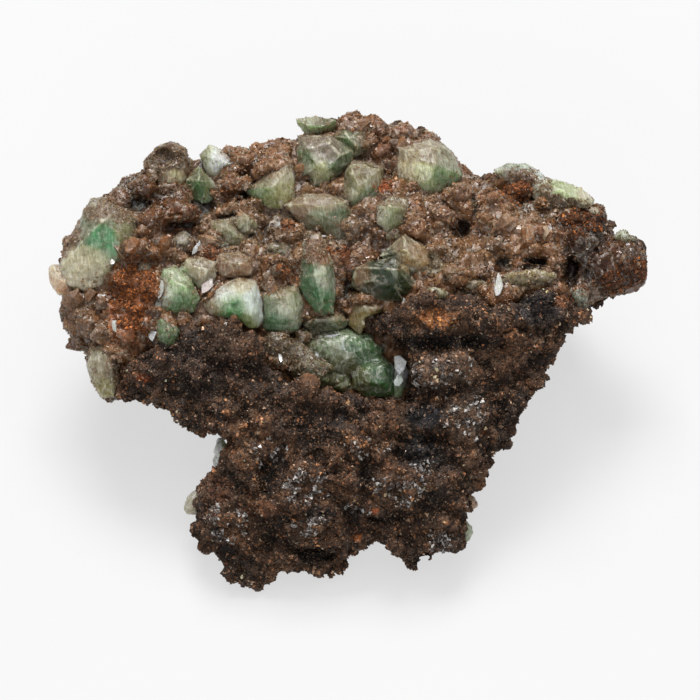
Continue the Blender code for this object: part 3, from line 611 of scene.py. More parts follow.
def template(form: Form) -> tuple[Array, Array]:
    """The shape of a small piece, about one unit across.

    Args:
        form: which shape.

    Returns:
        Its corners, and its triangles as rows of corner numbers.
    """
    hulls = {
        Form.GRAIN: [(0.0, 0.1, 0.5), (0.1, 0.0, -0.5)] + [
            (0.5 * math.cos(angle), 0.5 * math.sin(angle), 0.0) for angle in (0.2, 2.2, 4.4)],
        Form.SUGAR: [(u + 0.2 * w, v - 0.1 * w, w) for w in (-0.42, 0.42)
                     for u, v in ((0.45, -0.35), (-0.42, -0.3), (0.05, 0.5))],
        Form.SPLINTER: [(0.55, 0.0, -0.3), (-0.4, 0.45, -0.3), (-0.3, -0.5, -0.2), (0.05, 0.0, 0.6)]}
    shell = bmesh.new()
    if form is Form.BALL:
        bmesh.ops.create_icosphere(shell, subdivisions=2, radius=0.5)
    elif form is Form.POINT:
        angles = [side * math.tau / 6 for side in range(6)]
        rings = []
        for height, radius in ((-0.5, 0.36), (0.12, 0.42), (0.46, 0.12)):
            rings.append([shell.verts.new((reach * math.cos(angle), reach * math.sin(angle), height))
                          for angle, reach in zip(angles, (0.86 * radius, radius) * 3)])
        for low, high in zip(rings, rings[1:]):
            for side in range(6):
                after = (side + 1) % 6
                shell.faces.new((low[side], low[after], high[after], high[side]))
        shell.faces.new(rings[-1])
        shell.faces.new(rings[0][::-1])
    else:
        for corner in hulls[form]:
            shell.verts.new(corner)
        bmesh.ops.convex_hull(shell, input=shell.verts)
    bmesh.ops.triangulate(shell, faces=shell.faces)
    shell.verts.index_update()
    corners = np.array([tuple(vert.co) for vert in shell.verts])
    faces = np.array([[vert.index for vert in face.verts] for face in shell.faces])
    shell.free()
    return corners, faces


class Surface:
    """Meshes as triangles that places can be drawn from."""

    def __init__(self, *meshes: Mesh) -> None:
        """Reads the meshes' triangles.

        Args:
            meshes: the meshes to draw places from.
        """
        corners = []
        for mesh in meshes:
            mesh.calc_loop_triangles()
            corners.append(mesh_points(mesh)[numbers(mesh.loop_triangles, "vertices", 3)])
        self.corners = np.concatenate(corners)
        sides = self.corners[:, 1:] - self.corners[:, :1]
        cross = np.cross(sides[:, 0], sides[:, 1])
        self.areas = 0.5 * np.linalg.norm(cross, axis=1)
        self.normals = cross / np.maximum(2.0 * self.areas, 1e-15)[:, None]
        self.middles = self.corners.mean(axis=1)
        self.uvw = FACE.to_face(self.middles)
        self.facing = self.normals @ OUT

    def draw(self, count: int, weight: Array, rng: Chance) -> tuple[Array, Array]:
        """Random places on the surface.

        Args:
            count: how many places.
            weight: how dense they are on each triangle.
            rng: the source of chance.

        Returns:
            The places and the surface's normals there.
        """
        share = self.areas * weight
        chosen = rng.choice(len(share), count, p=share / share.sum())
        a, b = rng.random(count), rng.random(count)
        over = a + b > 1.0
        a[over], b[over] = 1.0 - a[over], 1.0 - b[over]
        first, second, third = self.corners[chosen].transpose(1, 0, 2)
        return first + a[:, None] * (second - first) + b[:, None] * (third - first), self.normals[chosen]


@dataclass(frozen=True)
class Scatter:
    """Many small pieces joined in one mesh.

    Attributes:
        form: the shape of the pieces.
        count: how many there are.
        size: the least and greatest size.
        sink: the share of a piece's size by which its middle lies under the surface.
        lean: how far a piece leans off the surface's normal, or None for any way round.
        rough: how unlike each other the corners of a piece are.
        stretch: the least and greatest length of a piece over its width.
        skew: how many small pieces there are for each large one.
    """

    form: Form
    count: int
    size: Pair
    sink: float = 0.15
    lean: Optional[float] = None
    rough: float = 0.18
    stretch: Pair = (0.8, 1.3)
    skew: float = 2.0

    def build(self, name: str, surface: Surface, weight: Array, rng: Chance) -> tuple[Piece, Array, Array]:
        """Makes the joined pieces.

        Args:
            name: the new object's name.
            surface: what they stand on.
            weight: how dense they are on each of its triangles.
            rng: the source of chance.

        Returns:
            The object, where its pieces stand, and the number of each vertex's piece.
        """
        spots, normals = surface.draw(self.count, weight, rng)
        corners, faces = template(self.form)
        sizes = self.size[0] + (self.size[1] - self.size[0]) * rng.random(self.count) ** self.skew
        turns = self._any_turn(rng) if self.lean is None else self._leaning(normals, rng)
        shape = np.repeat(corners[None], self.count, axis=0)
        shape[:, :, 2] *= rng.uniform(*self.stretch, self.count)[:, None]
        shape *= 1.0 + self.rough * rng.uniform(-1.0, 1.0, (self.count, len(corners), 1))
        points = np.einsum("nij,nkj->nki", turns, shape) * (sizes * MM)[:, None, None]
        points += raised(spots, normals, -self.sink * sizes)[:, None, :]
        firsts = np.arange(self.count) * len(corners)
        mesh = bpy.data.meshes.new(name)
        mesh.from_pydata(BOUNDS.kept(points.reshape(-1, 3), 0.1).tolist(), [],
                         (faces[None] + firsts[:, None, None]).reshape(-1, 3).tolist())
        shade(mesh, False)
        return new_piece(name, mesh), spots, np.repeat(np.arange(self.count), len(corners))

    def strewn(self, name: str, surface: Surface, weight: Array, colours: Callable[[Array], Array],
               mixture: Mixture, material: Material, rng: Chance) -> Piece:
        """Makes the joined pieces and dresses them.

        Args:
            name: the new object's name.
            surface: what they stand on.
            weight: how dense they are on each of its triangles.
            colours: gives their usual linear colours from where they stand.
            mixture: how their colours differ.
            material: their finish.
            rng: the source of chance.

        Returns:
            The object.
        """
        pieces, spots, owner = self.build(name, surface, weight, rng)
        paint(pieces.data, mixture.over(colours(spots), rng)[owner], material)
        return pieces

    def _any_turn(self, rng: Chance) -> Array:
        """Rotations that point any way.

        Args:
            rng: the source of chance.

        Returns:
            One matrix for each piece.
        """
        q = rng.normal(size=(self.count, 4))
        w, x, y, z = (q / np.linalg.norm(q, axis=1)[:, None]).T
        rows = [
            [1 - 2 * (y * y + z * z), 2 * (x * y - z * w), 2 * (x * z + y * w)],
            [2 * (x * y + z * w), 1 - 2 * (x * x + z * z), 2 * (y * z - x * w)],
            [2 * (x * z - y * w), 2 * (y * z + x * w), 1 - 2 * (x * x + y * y)]]
        return np.array(rows).transpose(2, 0, 1)

    def _leaning(self, normals: Array, rng: Chance) -> Array:
        """Rotations that stand a piece on the surface, leaning a little.

        Args:
            normals: which way the surface faces at each piece.
            rng: the source of chance.

        Returns:
            One matrix for each piece.
        """
        up = normals + self.lean * rng.normal(size=normals.shape)
        up /= np.linalg.norm(up, axis=1)[:, None]
        side = np.cross(up, rng.normal(size=normals.shape))
        side /= np.linalg.norm(side, axis=1)[:, None]
        return np.stack([side, np.cross(up, side), up], axis=2)


class Ground:
    """The surface of some meshes, for standing things on."""

    def __init__(self, *meshes: Mesh) -> None:
        """Reads the meshes.

        Args:
            meshes: the meshes that make the surface.
        """
        corners, faces = [], []
        for mesh in meshes:
            faces += [[len(corners) + index for index in face.vertices] for face in mesh.polygons]
            corners += [vert.co.copy() for vert in mesh.vertices]
        self.tree = BVHTree.FromPolygons(corners, faces)

    def height(self, at: Pair) -> float:
        """The height of the surface under a point of the drawing plane.

        Args:
            at: the point (u, v).

        Returns:
            The height w.
        """
        start = Vector(FACE.to_space(np.array([*at, 14.0])))
        hit = self.tree.ray_cast(start, -Vector(OUT))[0]
        return 0.0 if hit is None else float(FACE.to_face(np.array(hit))[2])

    def nearest(self, points: Array) -> tuple[Array, Array]:
        """The nearest places of the surface.

        Args:
            points: rows of coordinates in metres.

        Returns:
            The places, and the surface's normals there.
        """
        found = [self.tree.find_nearest(Vector(point))[:2] for point in points.tolist()]
        both = np.array([(*place, *normal) for place, normal in found])
        return both[:, :3], both[:, 3:]

    def distance(self, points: Array) -> Array:
        """How far each point in metres is from the surface, in millimetres."""
        return np.linalg.norm(points - self.nearest(points)[0], axis=1) / MM

    def rise(self, points: Array) -> Array:
        """How far each point in metres stands out from the surface, in millimetres."""
        places, normals = self.nearest(points)
        return ((points - places) * normals).sum(axis=1) / MM


def knobbled(piece: Piece, knobs: Scatter, spread: Callable[[Surface], Array], seed: int) -> None:
    """Adds knobs to an object's mesh, which a remesh then fuses with it.

    Args:
        piece: the object.
        knobs: the knobs.
        spread: gives how dense they are on each triangle of the object's surface.
        seed: starts the chance.
    """
    surface = Surface(piece.data)
    made, _, _ = knobs.build("knobs", surface, spread(surface), np.random.default_rng(seed))
    mesh = made.data
    with reshaping(piece.data) as shell:
        shell.from_mesh(mesh)
    bpy.data.objects.remove(made)
    bpy.data.meshes.remove(mesh)


class SolidBatch:
    """Convex solids with short edges, joined in one mesh."""

    def __init__(self, bevel: float = 0.08) -> None:
        """Starts an empty batch.

        Args:
            bevel: how far its corners are rounded, in millimetres.
        """
        self.bevel = bevel * MM
        self.corners: list[Vector] = []
        self.faces: list[list[int]] = []
        self.marks: list[int] = []
        self.count = 0

    def add(self, corners: Array) -> None:
        """Adds the convex solid round some corners.

        Args:
            corners: rows (u, v, w).
        """
        one = bmesh.new()
        for corner in FACE.to_space(corners):
            one.verts.new(corner)
        hull = bmesh.ops.convex_hull(one, input=one.verts)
        inner = set(hull["geom_interior"]) | set(hull["geom_unused"])
        bmesh.ops.delete(one, geom=[vert for vert in one.verts if vert in inner], context="VERTS")
        bmesh.ops.dissolve_limit(one, angle_limit=math.radians(12.0), verts=one.verts, edges=one.edges)
        rounded(one, list(one.edges), self.bevel)
        refined(one, 0.25)
        one.verts.index_update()
        base = len(self.corners)
        self.corners += [vert.co.copy() for vert in one.verts]
        self.faces += [[base + vert.index for vert in face.verts] for face in one.faces]
        self.marks += [self.count] * len(one.verts)
        self.count += 1
        one.free()

    def finish(self, name: str, rough: float, voxel: float = 0.0) -> Piece:
        """Makes the object.

        Args:
            name: its name.
            rough: how far its surface is roughened, in millimetres.
            voxel: the size of the faces that fuse the solids together, or nought to keep them apart.

        Returns:
            The object.
        """
        mesh = bpy.data.meshes.new(name)
        mesh.from_pydata(self.corners, [], self.faces)
        mesh.validate()
        piece = new_piece(name, mesh)
        if voxel > 0.0:
            fused(piece, voxel, 2)
            mesh = piece.data
        shade(mesh)
        points = mesh_points(mesh)
        set_points(mesh, raised(points, mesh_normals(mesh), rough * noise_at(points / MM, 0.7, 7.0)))
        mesh.set_sharp_from_angle(angle=math.radians(30.0))
        return piece


class NodeTree:
    """A short way to write a material's nodes."""

    def __init__(self, name: str) -> None:
        """Starts an empty material.

        Args:
            name: the material's name.
        """
        self.material = bpy.data.materials.new(name)
        self.material.use_nodes = True
        self.nodes = self.material.node_tree.nodes
        self.nodes.clear()
        self.place = self.add("ShaderNodeTexCoord").outputs["Object"]

    def add(self, kind: str, **values: object) -> bpy.types.Node:
        """Adds a node.

        Args:
            kind: the node's type.
            values: its properties, and its inputs by name with spaces as underscores.

        Returns:
            The node.
        """
        node = self.nodes.new(kind)
        for key, value in values.items():
            label = key.replace("_", " ")
            if label in node.inputs:
                self.put(value, node.inputs[label])
            else:
                setattr(node, key, value)
        return node

    def put(self, value: object, target: Socket) -> None:
        """Gives an input a value, or links an output to it.

        Args:
            value: the value or the output.
            target: the input.
        """
        if isinstance(value, Socket):
            self.material.node_tree.links.new(value, target)
        else:
            target.default_value = value

    def tint(self) -> Socket:
        """The colour painted on the mesh."""
        return self.add("ShaderNodeAttribute", attribute_name="tint").outputs["Color"]

    def noise(self, size: float, detail: float, **values: object) -> Socket:
        """Cloudy noise, with the size of its lumps in metres and how much finer detail it has."""
        values.setdefault("Vector", self.place)
        return self.add("ShaderNodeTexNoise", Scale=1.0 / size, Detail=detail, **values).outputs["Fac"]

    def ramp(self, value: Socket, *stops: Pair) -> Socket:
        """Maps a value through grey stops.

        Args:
            value: the value to map.
            stops: pairs of place and grey level.

        Returns:
            The mapped value.
        """
        node = self.add("ShaderNodeValToRGB", Fac=value)
        elements = node.color_ramp.elements
        while len(elements) < len(stops):
            elements.new(0.5)
        for element, (at, level) in zip(elements, stops):
            element.position = at
            element.color = grey(level)
        return node.outputs["Color"]

    def mix(self, share: object, first: object, second: object, blend: str = "MIX") -> Socket:
        """Mixes two colours.

        Args:
            share: how much of the second, as a number or an output.
            first: a colour or an output.
            second: a colour or an output.
            blend: the way of mixing.

        Returns:
            The mixed colour.
        """
        node = self.add("ShaderNodeMix", data_type="RGBA", blend_type=blend)
        for index, value in ((0, share), (6, first), (7, second)):
            self.put(value, node.inputs[index])
        return node.outputs[2]

    def darker(self, share: object, colour: Socket, level: Socket) -> Socket:
        """A colour darkened by a level, by a share."""
        return self.mix(share, colour, level, "MULTIPLY")

    def bump(self, height: Socket, depth: float) -> Socket:
        """A bumped normal from a height, with its depth in millimetres."""
        return self.add("ShaderNodeBump", Distance=depth * MM, Height=height, Strength=1.0).outputs[0]

    def finished(self, **values: object) -> Material:
        """Adds the shader and ends the material.

        Args:
            values: the shader's inputs.

        Returns:
            The material.
        """
        shader = self.add("ShaderNodeBsdfPrincipled", **values)
        self.add("ShaderNodeOutputMaterial", Surface=shader.outputs["BSDF"])
        return self.material


def grey(level: float) -> tuple[float, float, float, float]:
    """An opaque grey."""
    return (level, level, level, 1.0)


@dataclass(frozen=True)
class StoneFinish:
    """Granular brown rock.

    Attributes:
        name: the material's name.
        grain: the size of its grains.
        depth: the depth of its bumps.
        contrast: how dark the painted shade in the gaps between its grains is, from 0 to 1.
        specks: how strongly its tan specks show, from 0 to 1; they are partly painted sparkle.
        dull: its roughness on dull places.
        bright: its roughness on the places that glint.
        tan: the linear colour of its specks.
    """

    name: str
    grain: float = 0.3
    depth: float = 0.16
    contrast: float = 0.85
    specks: float = 0.5
    dull: float = 0.85
    bright: float = 0.4
    tan: Triple = (0.36, 0.26, 0.18)

    def material(self) -> Material:
        """Makes the node material.

        Returns:
            The material.
        """
        tree = NodeTree(self.name)
        fine = tree.noise(self.grain * MM, 5.0, Roughness=0.72)
        specks = tree.ramp(tree.noise(0.55 * self.grain * MM, 2.0), (0.6, 0.0), (0.7, self.specks))
        wet = tree.ramp(tree.noise(6.0 * self.grain * MM, 3.0), (0.5, 0.0), (0.62, 1.0))
        # Painted shade darkens the gaps between grains; the tan specks are partly tan grains, partly
        # painted sparkle.
        gaps = tree.ramp(fine, (0.36, 0.12), (0.5, 0.5), (0.66, 1.0))
        colour = tree.mix(specks, tree.darker(self.contrast, tree.tint(), gaps), (*self.tan, 1.0))
        return tree.finished(
            Base_Color=colour, Roughness=tree.mix(wet, grey(self.dull), grey(self.bright)),
            Normal=tree.bump(fine, self.depth), Specular_IOR_Level=0.25, IOR=1.6)


@dataclass(frozen=True)
class CrystalFinish:
    """Translucent crystal, clear in places and frosted in others.

    Attributes:
        name: the material's name.
        clear: how much light goes straight through, from 0 to 1.
        glow: how much light spreads inside, from 0 to 1.
        depth_mm: how far that light spreads.
        gloss: roughness of the glossy places.
        frost: roughness of the frosted places.
        milk: the linear colour of the milky places.
        milkiness: how far the milky places cover the colour.
        fibres: width of the fibres.
        veils: how strongly white veils show, from 0 to 1.
        bumps: depth of the surface's bumps.
        ior: the index of refraction.
        shine: how strongly it reflects.
        veil: the linear colour of the veils.
        streak: the linear colour of the palest fibres, partly painted highlight.
    """

    name: str
    clear: float = 0.35
    glow: float = 0.36
    depth_mm: float = 0.7
    gloss: float = 0.12
    frost: float = 0.4
    milk: Triple = (0.66, 0.66, 0.55)
    milkiness: float = 0.45
    fibres: float = 0.13
    veils: float = 0.25
    bumps: float = 0.03
    ior: float = 1.6
    shine: float = 0.5
    veil: Triple = (0.72, 0.74, 0.64)
    streak: Triple = (0.72, 0.76, 0.66)

    def material(self) -> Material:
        """Makes the node material.

        Returns:
            The material.
        """
        tree = NodeTree(self.name)
        clouds = tree.noise(0.8 * MM, 6.0, Roughness=0.65)
        fine = tree.noise(0.1 * MM, 3.0)
        curls = tree.noise(2.2 * MM, 4.0, Distortion=1.2)
        along = tree.add("ShaderNodeMapping", vector_type="TEXTURE", Vector=tree.place,
                         Rotation=(math.pi / 2.0 - FACE.tilt, 0.25, 0.3),
                         Scale=(self.fibres * MM, 9.0 * self.fibres * MM, 2.5 * self.fibres * MM))
        fibres = tree.noise(1.0, 3.0, Distortion=0.5, Vector=along.outputs["Vector"])
        tint = tree.tint()
        pale = tree.ramp(tree.add("ShaderNodeRGBToBW", Color=tint).outputs["Val"], (0.06, 0.0), (0.3, 1.0))
        milky = tree.ramp(clouds, (0.45, 0.0), (0.7, self.milkiness))
        colour = tree.mix(tree.darker(1.0, milky, pale), tint, (*self.milk, 1.0))
        veil = tree.ramp(curls, (0.47, 0.0), (0.5, self.veils), (0.53, 0.0))
        colour = tree.mix(veil, colour, (*self.veil, 1.0))
        colour = tree.darker(0.7, colour, tree.ramp(fibres, (0.36, 0.5), (0.6, 1.0)))
        # The palest fibres are partly pale streaks, partly painted highlight along the fibres.
        streaks = tree.ramp(fibres, (0.58, 0.0), (0.68, min(1.0, 1.6 * self.veils)))
        colour = tree.mix(tree.darker(1.0, streaks, pale), colour, (*self.streak, 1.0))
        colour = tree.darker(0.45, colour, tree.ramp(fine, (0.34, 0.5), (0.56, 1.0)))
        frosted = tree.ramp(clouds, (0.4, 0.0), (0.6, 1.0))
        return tree.finished(
            Base_Color=colour, Roughness=tree.mix(frosted, grey(self.gloss), grey(self.frost)),
            Normal=tree.bump(tree.mix(0.5, fine, fibres), self.bumps), IOR=self.ior,
            Transmission_Weight=self.clear, Subsurface_Weight=self.glow, Specular_IOR_Level=self.shine,
            Subsurface_Scale=self.depth_mm * MM, Subsurface_Radius=(0.9, 1.0, 0.7))


@dataclass(frozen=True)
class PaperFinish:
    """The plain pale ground: backlit paper, so that shadows on it stay soft.

    Attributes:
        name: the material's name.
        levels: how light it is in its darkest and its lightest places.
        clouds: the size of those places in metres.
        backlight: how strongly it glows.
    """

    name: str = "pale_ground"
    levels: Pair = (0.176, 0.184)
    clouds: float = 1.0 / 9.0
    backlight: float = 0.62

    def material(self) -> Material:
        """Makes the node material.

        Returns:
            The material.
        """
        tree = NodeTree(self.name)
        colour = tree.ramp(tree.noise(self.clouds, 2.0), *zip((0.3, 0.7), self.levels))
        return tree.finished(Base_Color=colour, Roughness=0.9, Specular_IOR_Level=0.0,
                             Emission_Strength=self.backlight, Emission_Color=grey(1.0))


CRUST_EDGE = [
    (31, 5), (23.4, 5.1), (21.6, 5.6), (19.4, 6.4), (16.6, 5.4), (14.4, 4.8), (11.2, 5), (8.4, 6.3),
    (6, 5), (3, 3.8), (1.6, 2.6), (2.4, 1.2), (5.2, 0.2), (6.2, -2.2), (5.8, -5), (3, -5), (-0.6, -4),
    (-5, -3), (-8, -1), (-9.5, 1.6), (-11.4, 3.1), (-14.5, 3), (-18, 1.5), (-21.4, 0), (-23.2, -1.6),
    (-24.1, -4.8)]
DRUSE_LOOP = CRUST_EDGE + [
    (-25.7, -2.8), (-26.4, -1.3), (-26, -0.4), (-27.4, 0.5), (-29.5, 2.2), (-31, 6), (-31, 16), (-20, 25),
    (5, 27), (31, 20)]


@dataclass(frozen=True)
class Palette:
    """Colours over a surface: a base with broad and fine changes, and patches on it.

    Attributes:
        base: the usual display colour.
        light: the colour of the lighter places.
        dark: the colour of the darker places.
        patches: the listed patches.
        size: the size of the broad changes.
    """

    base: Colour
    light: Colour
    dark: Colour
    patches: Sequence[Patch]
    size: float = 2.6

    def colours(self, points: Array, seed: float, shade: float | Array = 1.0) -> Array:
        """Linear colours for points in metres.

        Args:
            points: rows of coordinates in metres.
            seed: shifts the changes of colour.
            shade: painted shade and light, how light the points are painted.

        Returns:
            Rows of linear colour.
        """
        uvw = FACE.to_face(points)
        broad = noise_at(uvw, self.size, 3.0 + seed)
        fine = noise_at(uvw, 0.5, 9.0 + seed, 2)
        colour = np.repeat(np.array([self.base], float), len(points), axis=0)
        colour = mixed(colour, np.array(self.light), unit(broad * 1.1 + fine * 0.5))
        colour = mixed(colour, np.array(self.dark), unit(-broad * 1.1 - fine * 0.4))
        front = unit(uvw[:, 2] / 2.0 + 6.0)
        for patch in self.patches:
            weight = patch.weight(uvw, 0.6 * broad + 0.7 * fine) * front
            colour = mixed(colour, np.array(patch.colour), weight)
        return linear(colour) * np.broadcast_to(shade, len(points))[:, None]


def glints_at(uvw: Array) -> Array:
    """How much each place of the dark face glints, from 0 to 1."""
    share = covered(GLINT_PATCHES, uvw, 1.2 * noise_at(uvw, 1.2, 18.0, 2))
    return share * (uvw[:, 2] > -5.0) * unit(noise_at(uvw, 0.9, 19.0, 2) * 2.4 + 0.4)


# Two rows are painted shadow: the dark band under the ledge at (10, 0.9) and the shadowed hollow at (-3.8,
# -20.8).
DARK_PATCHES = [Patch(*row) for row in (
    ((-4, -17.5), (12, 5.5), (98, 66, 42), 0.55), ((-6.5, -22), (5.5, 2.2), (104, 74, 52), 0.7),
    ((-15, -1.5), (5, 3.2), (64, 48, 40), 0.6), ((9.2, -2.1), (3.8, 1.9), (128, 102, 84), 0.75),
    ((11.5, -6.6), (2.4, 2.2), (116, 94, 78), 0.7), ((7.5, -6.6), (2, 1.4), (38, 40, 48)),
    ((7.2, -10.4), (1.8, 2), (40, 42, 50)), ((18.8, 4.2), (2.8, 2), (40, 36, 38)),
    ((10, 0.9), (5.2, 0.8), (30, 23, 22)), ((-3.8, -20.8), (2.2, 1.2), (40, 28, 21), 0.7),
    ((-3, -16.4), (1.6, 1), (40, 40, 44), 0.7), ((-13, -14), (1.4, 1.4), (112, 66, 38), 0.7),
    ((-8.6, -16), (2, 1), (120, 70, 38), 0.6), ((3, -11.6), (2.4, 1), (112, 72, 46), 0.6),
    ((-20.5, -2.8), (0.9, 0.6), (176, 84, 34)), ((8.7, 3.1), (1.9, 1.3), (190, 112, 50), 0.6),
    ((21.5, 4.9), (1.2, 0.9), (150, 85, 40), 0.7), ((0.7, -18.8), (0.5, 0.5), (226, 124, 52)),
    ((2.4, -16.2), (0.4, 0.3), (206, 104, 50)), ((13.4, -8.2), (0.5, 0.3), (190, 104, 56)))]
WHITE = (255, 255, 255)
# Where the dark face glints, pale grains are strewn: partly pale frosting on the lumps' crests, partly
# painted glint.
GLINT_PATCHES = [Patch(at, reach, WHITE, strength) for at, reach, strength in (
    ((-4.6, -13.8), (2.3, 1.8), 0.95), ((-4.4, -17.6), (1.9, 1), 0.95), ((5, -13.8), (2.4, 1.7), 0.6),
    ((8.8, -19.2), (1.5, 1.1), 0.85), ((0.6, -15.8), (1.6, 0.7), 0.6), ((9.2, -2.1), (3.6, 1.8), 0.35),
    ((11.5, -6.6), (2.3, 2.2), 0.4), ((-12.4, -17.6), (2, 2.2), 0.42), ((-8, -10.4), (2, 1.6), 0.3),
    ((1, -9.8), (2.6, 1.4), 0.25), ((8, -12), (2, 1.2), 0.3))]
DARK_PITS = [Pit(*row) for row in (
    ((-4.4, -14), (2.8, 2.3), -1.1), ((5, -13.6), (2.7, 2.1), -1.2), ((9, -18.8), (2.3, 2), -1),
    ((9, -2), (3.4, 1.7), -0.8), ((11.8, -6.4), (2.4, 2.4), -0.9), ((18.8, 4), (2.8, 1.9), -0.8),
    ((10.4, 2.9), (4.6, 1.3), -0.9), ((-11.4, -17.2), (2.6, 2.8), -0.9), ((-3, -18.2), (3.2, 1.5), -0.9),
    ((0.8, -8.8), (2.2, 1.8), -0.6), ((-8, -8.4), (2.4, 2), -0.6), ((7.6, -6.4), (1.7, 1.5), -0.6),
    ((-6.4, -21.6), (4, 1.6), -0.5), ((10, 0.6), (5.4, 0.7), 0.9), ((-3.8, -20.4), (2.6, 0.8), 1.2),
    ((7, -8.8), (2.4, 0.7), 0.9), ((-8.2, -12.6), (0.9, 2.4), 0.9), ((1.6, -12.4), (0.8, 2.4), 0.9),
    ((0.2, -17.2), (0.8, 1.8), 0.8), ((3.4, -16.8), (1.8, 0.7), 0.9), ((13.4, -9.4), (0.7, 1.8), 0.7),
    ((-12.6, -20), (0.7, 1.2), 0.6), ((5.8, -10.6), (1.4, 1.2), 0.9))]
RUST_PATCHES = [Patch(*row) for row in (
    ((-21.9, 5.1), (2.7, 4.5), (158, 94, 50), 1, -12), ((16.9, 16.4), (1.6, 1.8), (134, 78, 46), 0.8),
    ((-2.35, 9.5), (0.8, 1.3), (150, 92, 60)), ((-0.5, 9.7), (0.6, 0.9), (150, 86, 54)),
    ((-6.2, 12.4), (0.9, 0.6), (166, 94, 56)), ((-14, 9.6), (1, 1.1), (134, 76, 44)),
    ((-6.3, 7.6), (1, 1.2), (128, 82, 52), 0.7), ((2.8, 16.5), (1.5, 0.7), (206, 100, 46)),
    ((26.9, 7.2), (1.6, 1.6), (138, 80, 44), 0.6), ((28.9, 7.4), (1.3, 2), (156, 84, 40), 0.7),
    ((23.2, 13), (2.4, 1.5), (84, 56, 40), 0.8))]
CRUSTED_PATCHES = [Patch(*row) for row in (
    ((-18.8, 19.4), (1.9, 1.3), (92, 64, 46)), ((-16.6, 20.2), (1.4, 1), (112, 76, 52)),
    ((-3.3, 10.2), (1.7, 1.6), (138, 92, 62)), ((17, 16.9), (2.2, 1.5), (118, 72, 46)),
    ((21.4, 14.6), (2.4, 1), (104, 74, 50)), ((19.7, 15.9), (0.7, 1.6), (122, 92, 64), 0.8),
    ((-5.2, -0.6), (3.4, 2), (112, 96, 70), 0.5, -35), ((-22.8, 13.6), (1.2, 1), (122, 84, 54), 0.7),
    ((-25.2, 13.9), (1.9, 0.8), (122, 90, 62), 0.6), ((-27.9, 12), (0.9, 1.8), (112, 76, 48), 0.8),
    ((-12, 17.6), (1.2, 0.8), (130, 92, 62), 0.8), ((-8.6, 17.9), (1.2, 0.6), (140, 110, 80), 0.6),
    ((6.6, 9.9), (0.9, 0.9), (140, 110, 82), 0.6), ((1.4, 7.2), (0.9, 1.4), (128, 94, 62), 0.7),
    ((-22.9, -1.4), (0.9, 1.6), (80, 58, 42), 0.8))]
COARSE_PATCHES = [Patch(*row) for row in (
    ((16.4, 12), (3.6, 3), (168, 130, 98), 0.7), ((4, 21.6), (4.8, 1.9), (136, 96, 68), 0.75),
    ((-26.6, 3.2), (2.6, 3.4), (142, 108, 80), 0.6))]
DRUSE_PATCHES = RUST_PATCHES + COARSE_PATCHES + [Patch(*row) for row in (
    ((-6, 12.6), (8, 4), (146, 116, 84), 0.5), ((11, 9), (4.5, 3), (150, 116, 80), 0.45),
    ((-19, 13), (3.6, 3), (122, 78, 44), 0.7), ((-18, 16), (5.5, 2.6), (98, 62, 38), 0.8),
    ((-22.4, 14.4), (2.4, 1.8), (96, 64, 42), 0.7), ((17.8, 7), (2.8, 0.9), (132, 122, 88), 0.7),
    ((26, 9.6), (4.2, 4.6), (82, 50, 32), 0.9), ((23.4, 10.2), (2.2, 3.4), (60, 38, 26), 0.7),
    ((-14, 10.4), (4.2, 1.6), (142, 122, 104), 0.6), ((-5.6, 1.2), (3.4, 3.2), (104, 96, 76), 0.6),
    ((7.6, 8.6), (2.2, 1.2), (120, 122, 96), 0.5))]
DRUSE_PITS = [Pit(*row) for row in (
    ((-21.9, 5.1), (2.4, 4.2), -0.7), ((3.6, 22.4), (5, 1.8), -0.7), ((-20.6, 12.9), (1.9, 1.5), -0.9),
    ((-17.9, 13.8), (1.6, 1.2), -0.9), ((-21.8, 10.4), (1.7, 1.4), -0.7), ((-12.6, 16.6), (2, 1.4), -0.9),
    ((-9.2, 19), (2.2, 1.2), -0.7), ((-18.6, 10.6), (1.8, 1.1), -0.6), ((-10.6, 9.6), (2.4, 1), -0.5),
    ((-27.2, 4.8), (1.6, 1.5), -0.6), ((-26.4, 2), (1.6, 1.4), -0.6), ((7, 12.4), (2.2, 1.6), -0.6),
    ((14.6, 14.4), (2.2, 1.4), -0.7), ((17.2, 11.4), (2.2, 1.8), -0.8), ((12.4, 8.6), (2.2, 1.2), -0.6),
    ((26.2, 8.4), (1.8, 1.8), -0.7), ((23.6, 11.4), (2, 1.6), -0.6), ((11.1, 12.2), (1, 0.9), 1.5),
    ((12.5, 14.5), (0.35, 1.1), 1.2), ((15.4, 8.8), (0.8, 0.5), 1), ((18.4, 8.5), (1.4, 0.7), 1.2),
    ((22.2, 7.8), (0.7, 1.6), 1.4), ((-21.2, 14.6), (1.2, 0.8), 0.8), ((-10.8, 15.6), (0.9, 0.4), 1.1),
    ((-12.4, 13.4), (1.1, 0.4), 1), ((-2.6, 2.4), (2.6, 0.9), 1.2), ((5.3, -0.3), (0.7, 1.2), 1.2),
    ((-16.6, 12.6), (1.6, 0.4), 0.9), ((-14.8, 14.5), (1.3, 1.1), 0.9), ((0, 6), (0.8, 1.2), 1))]


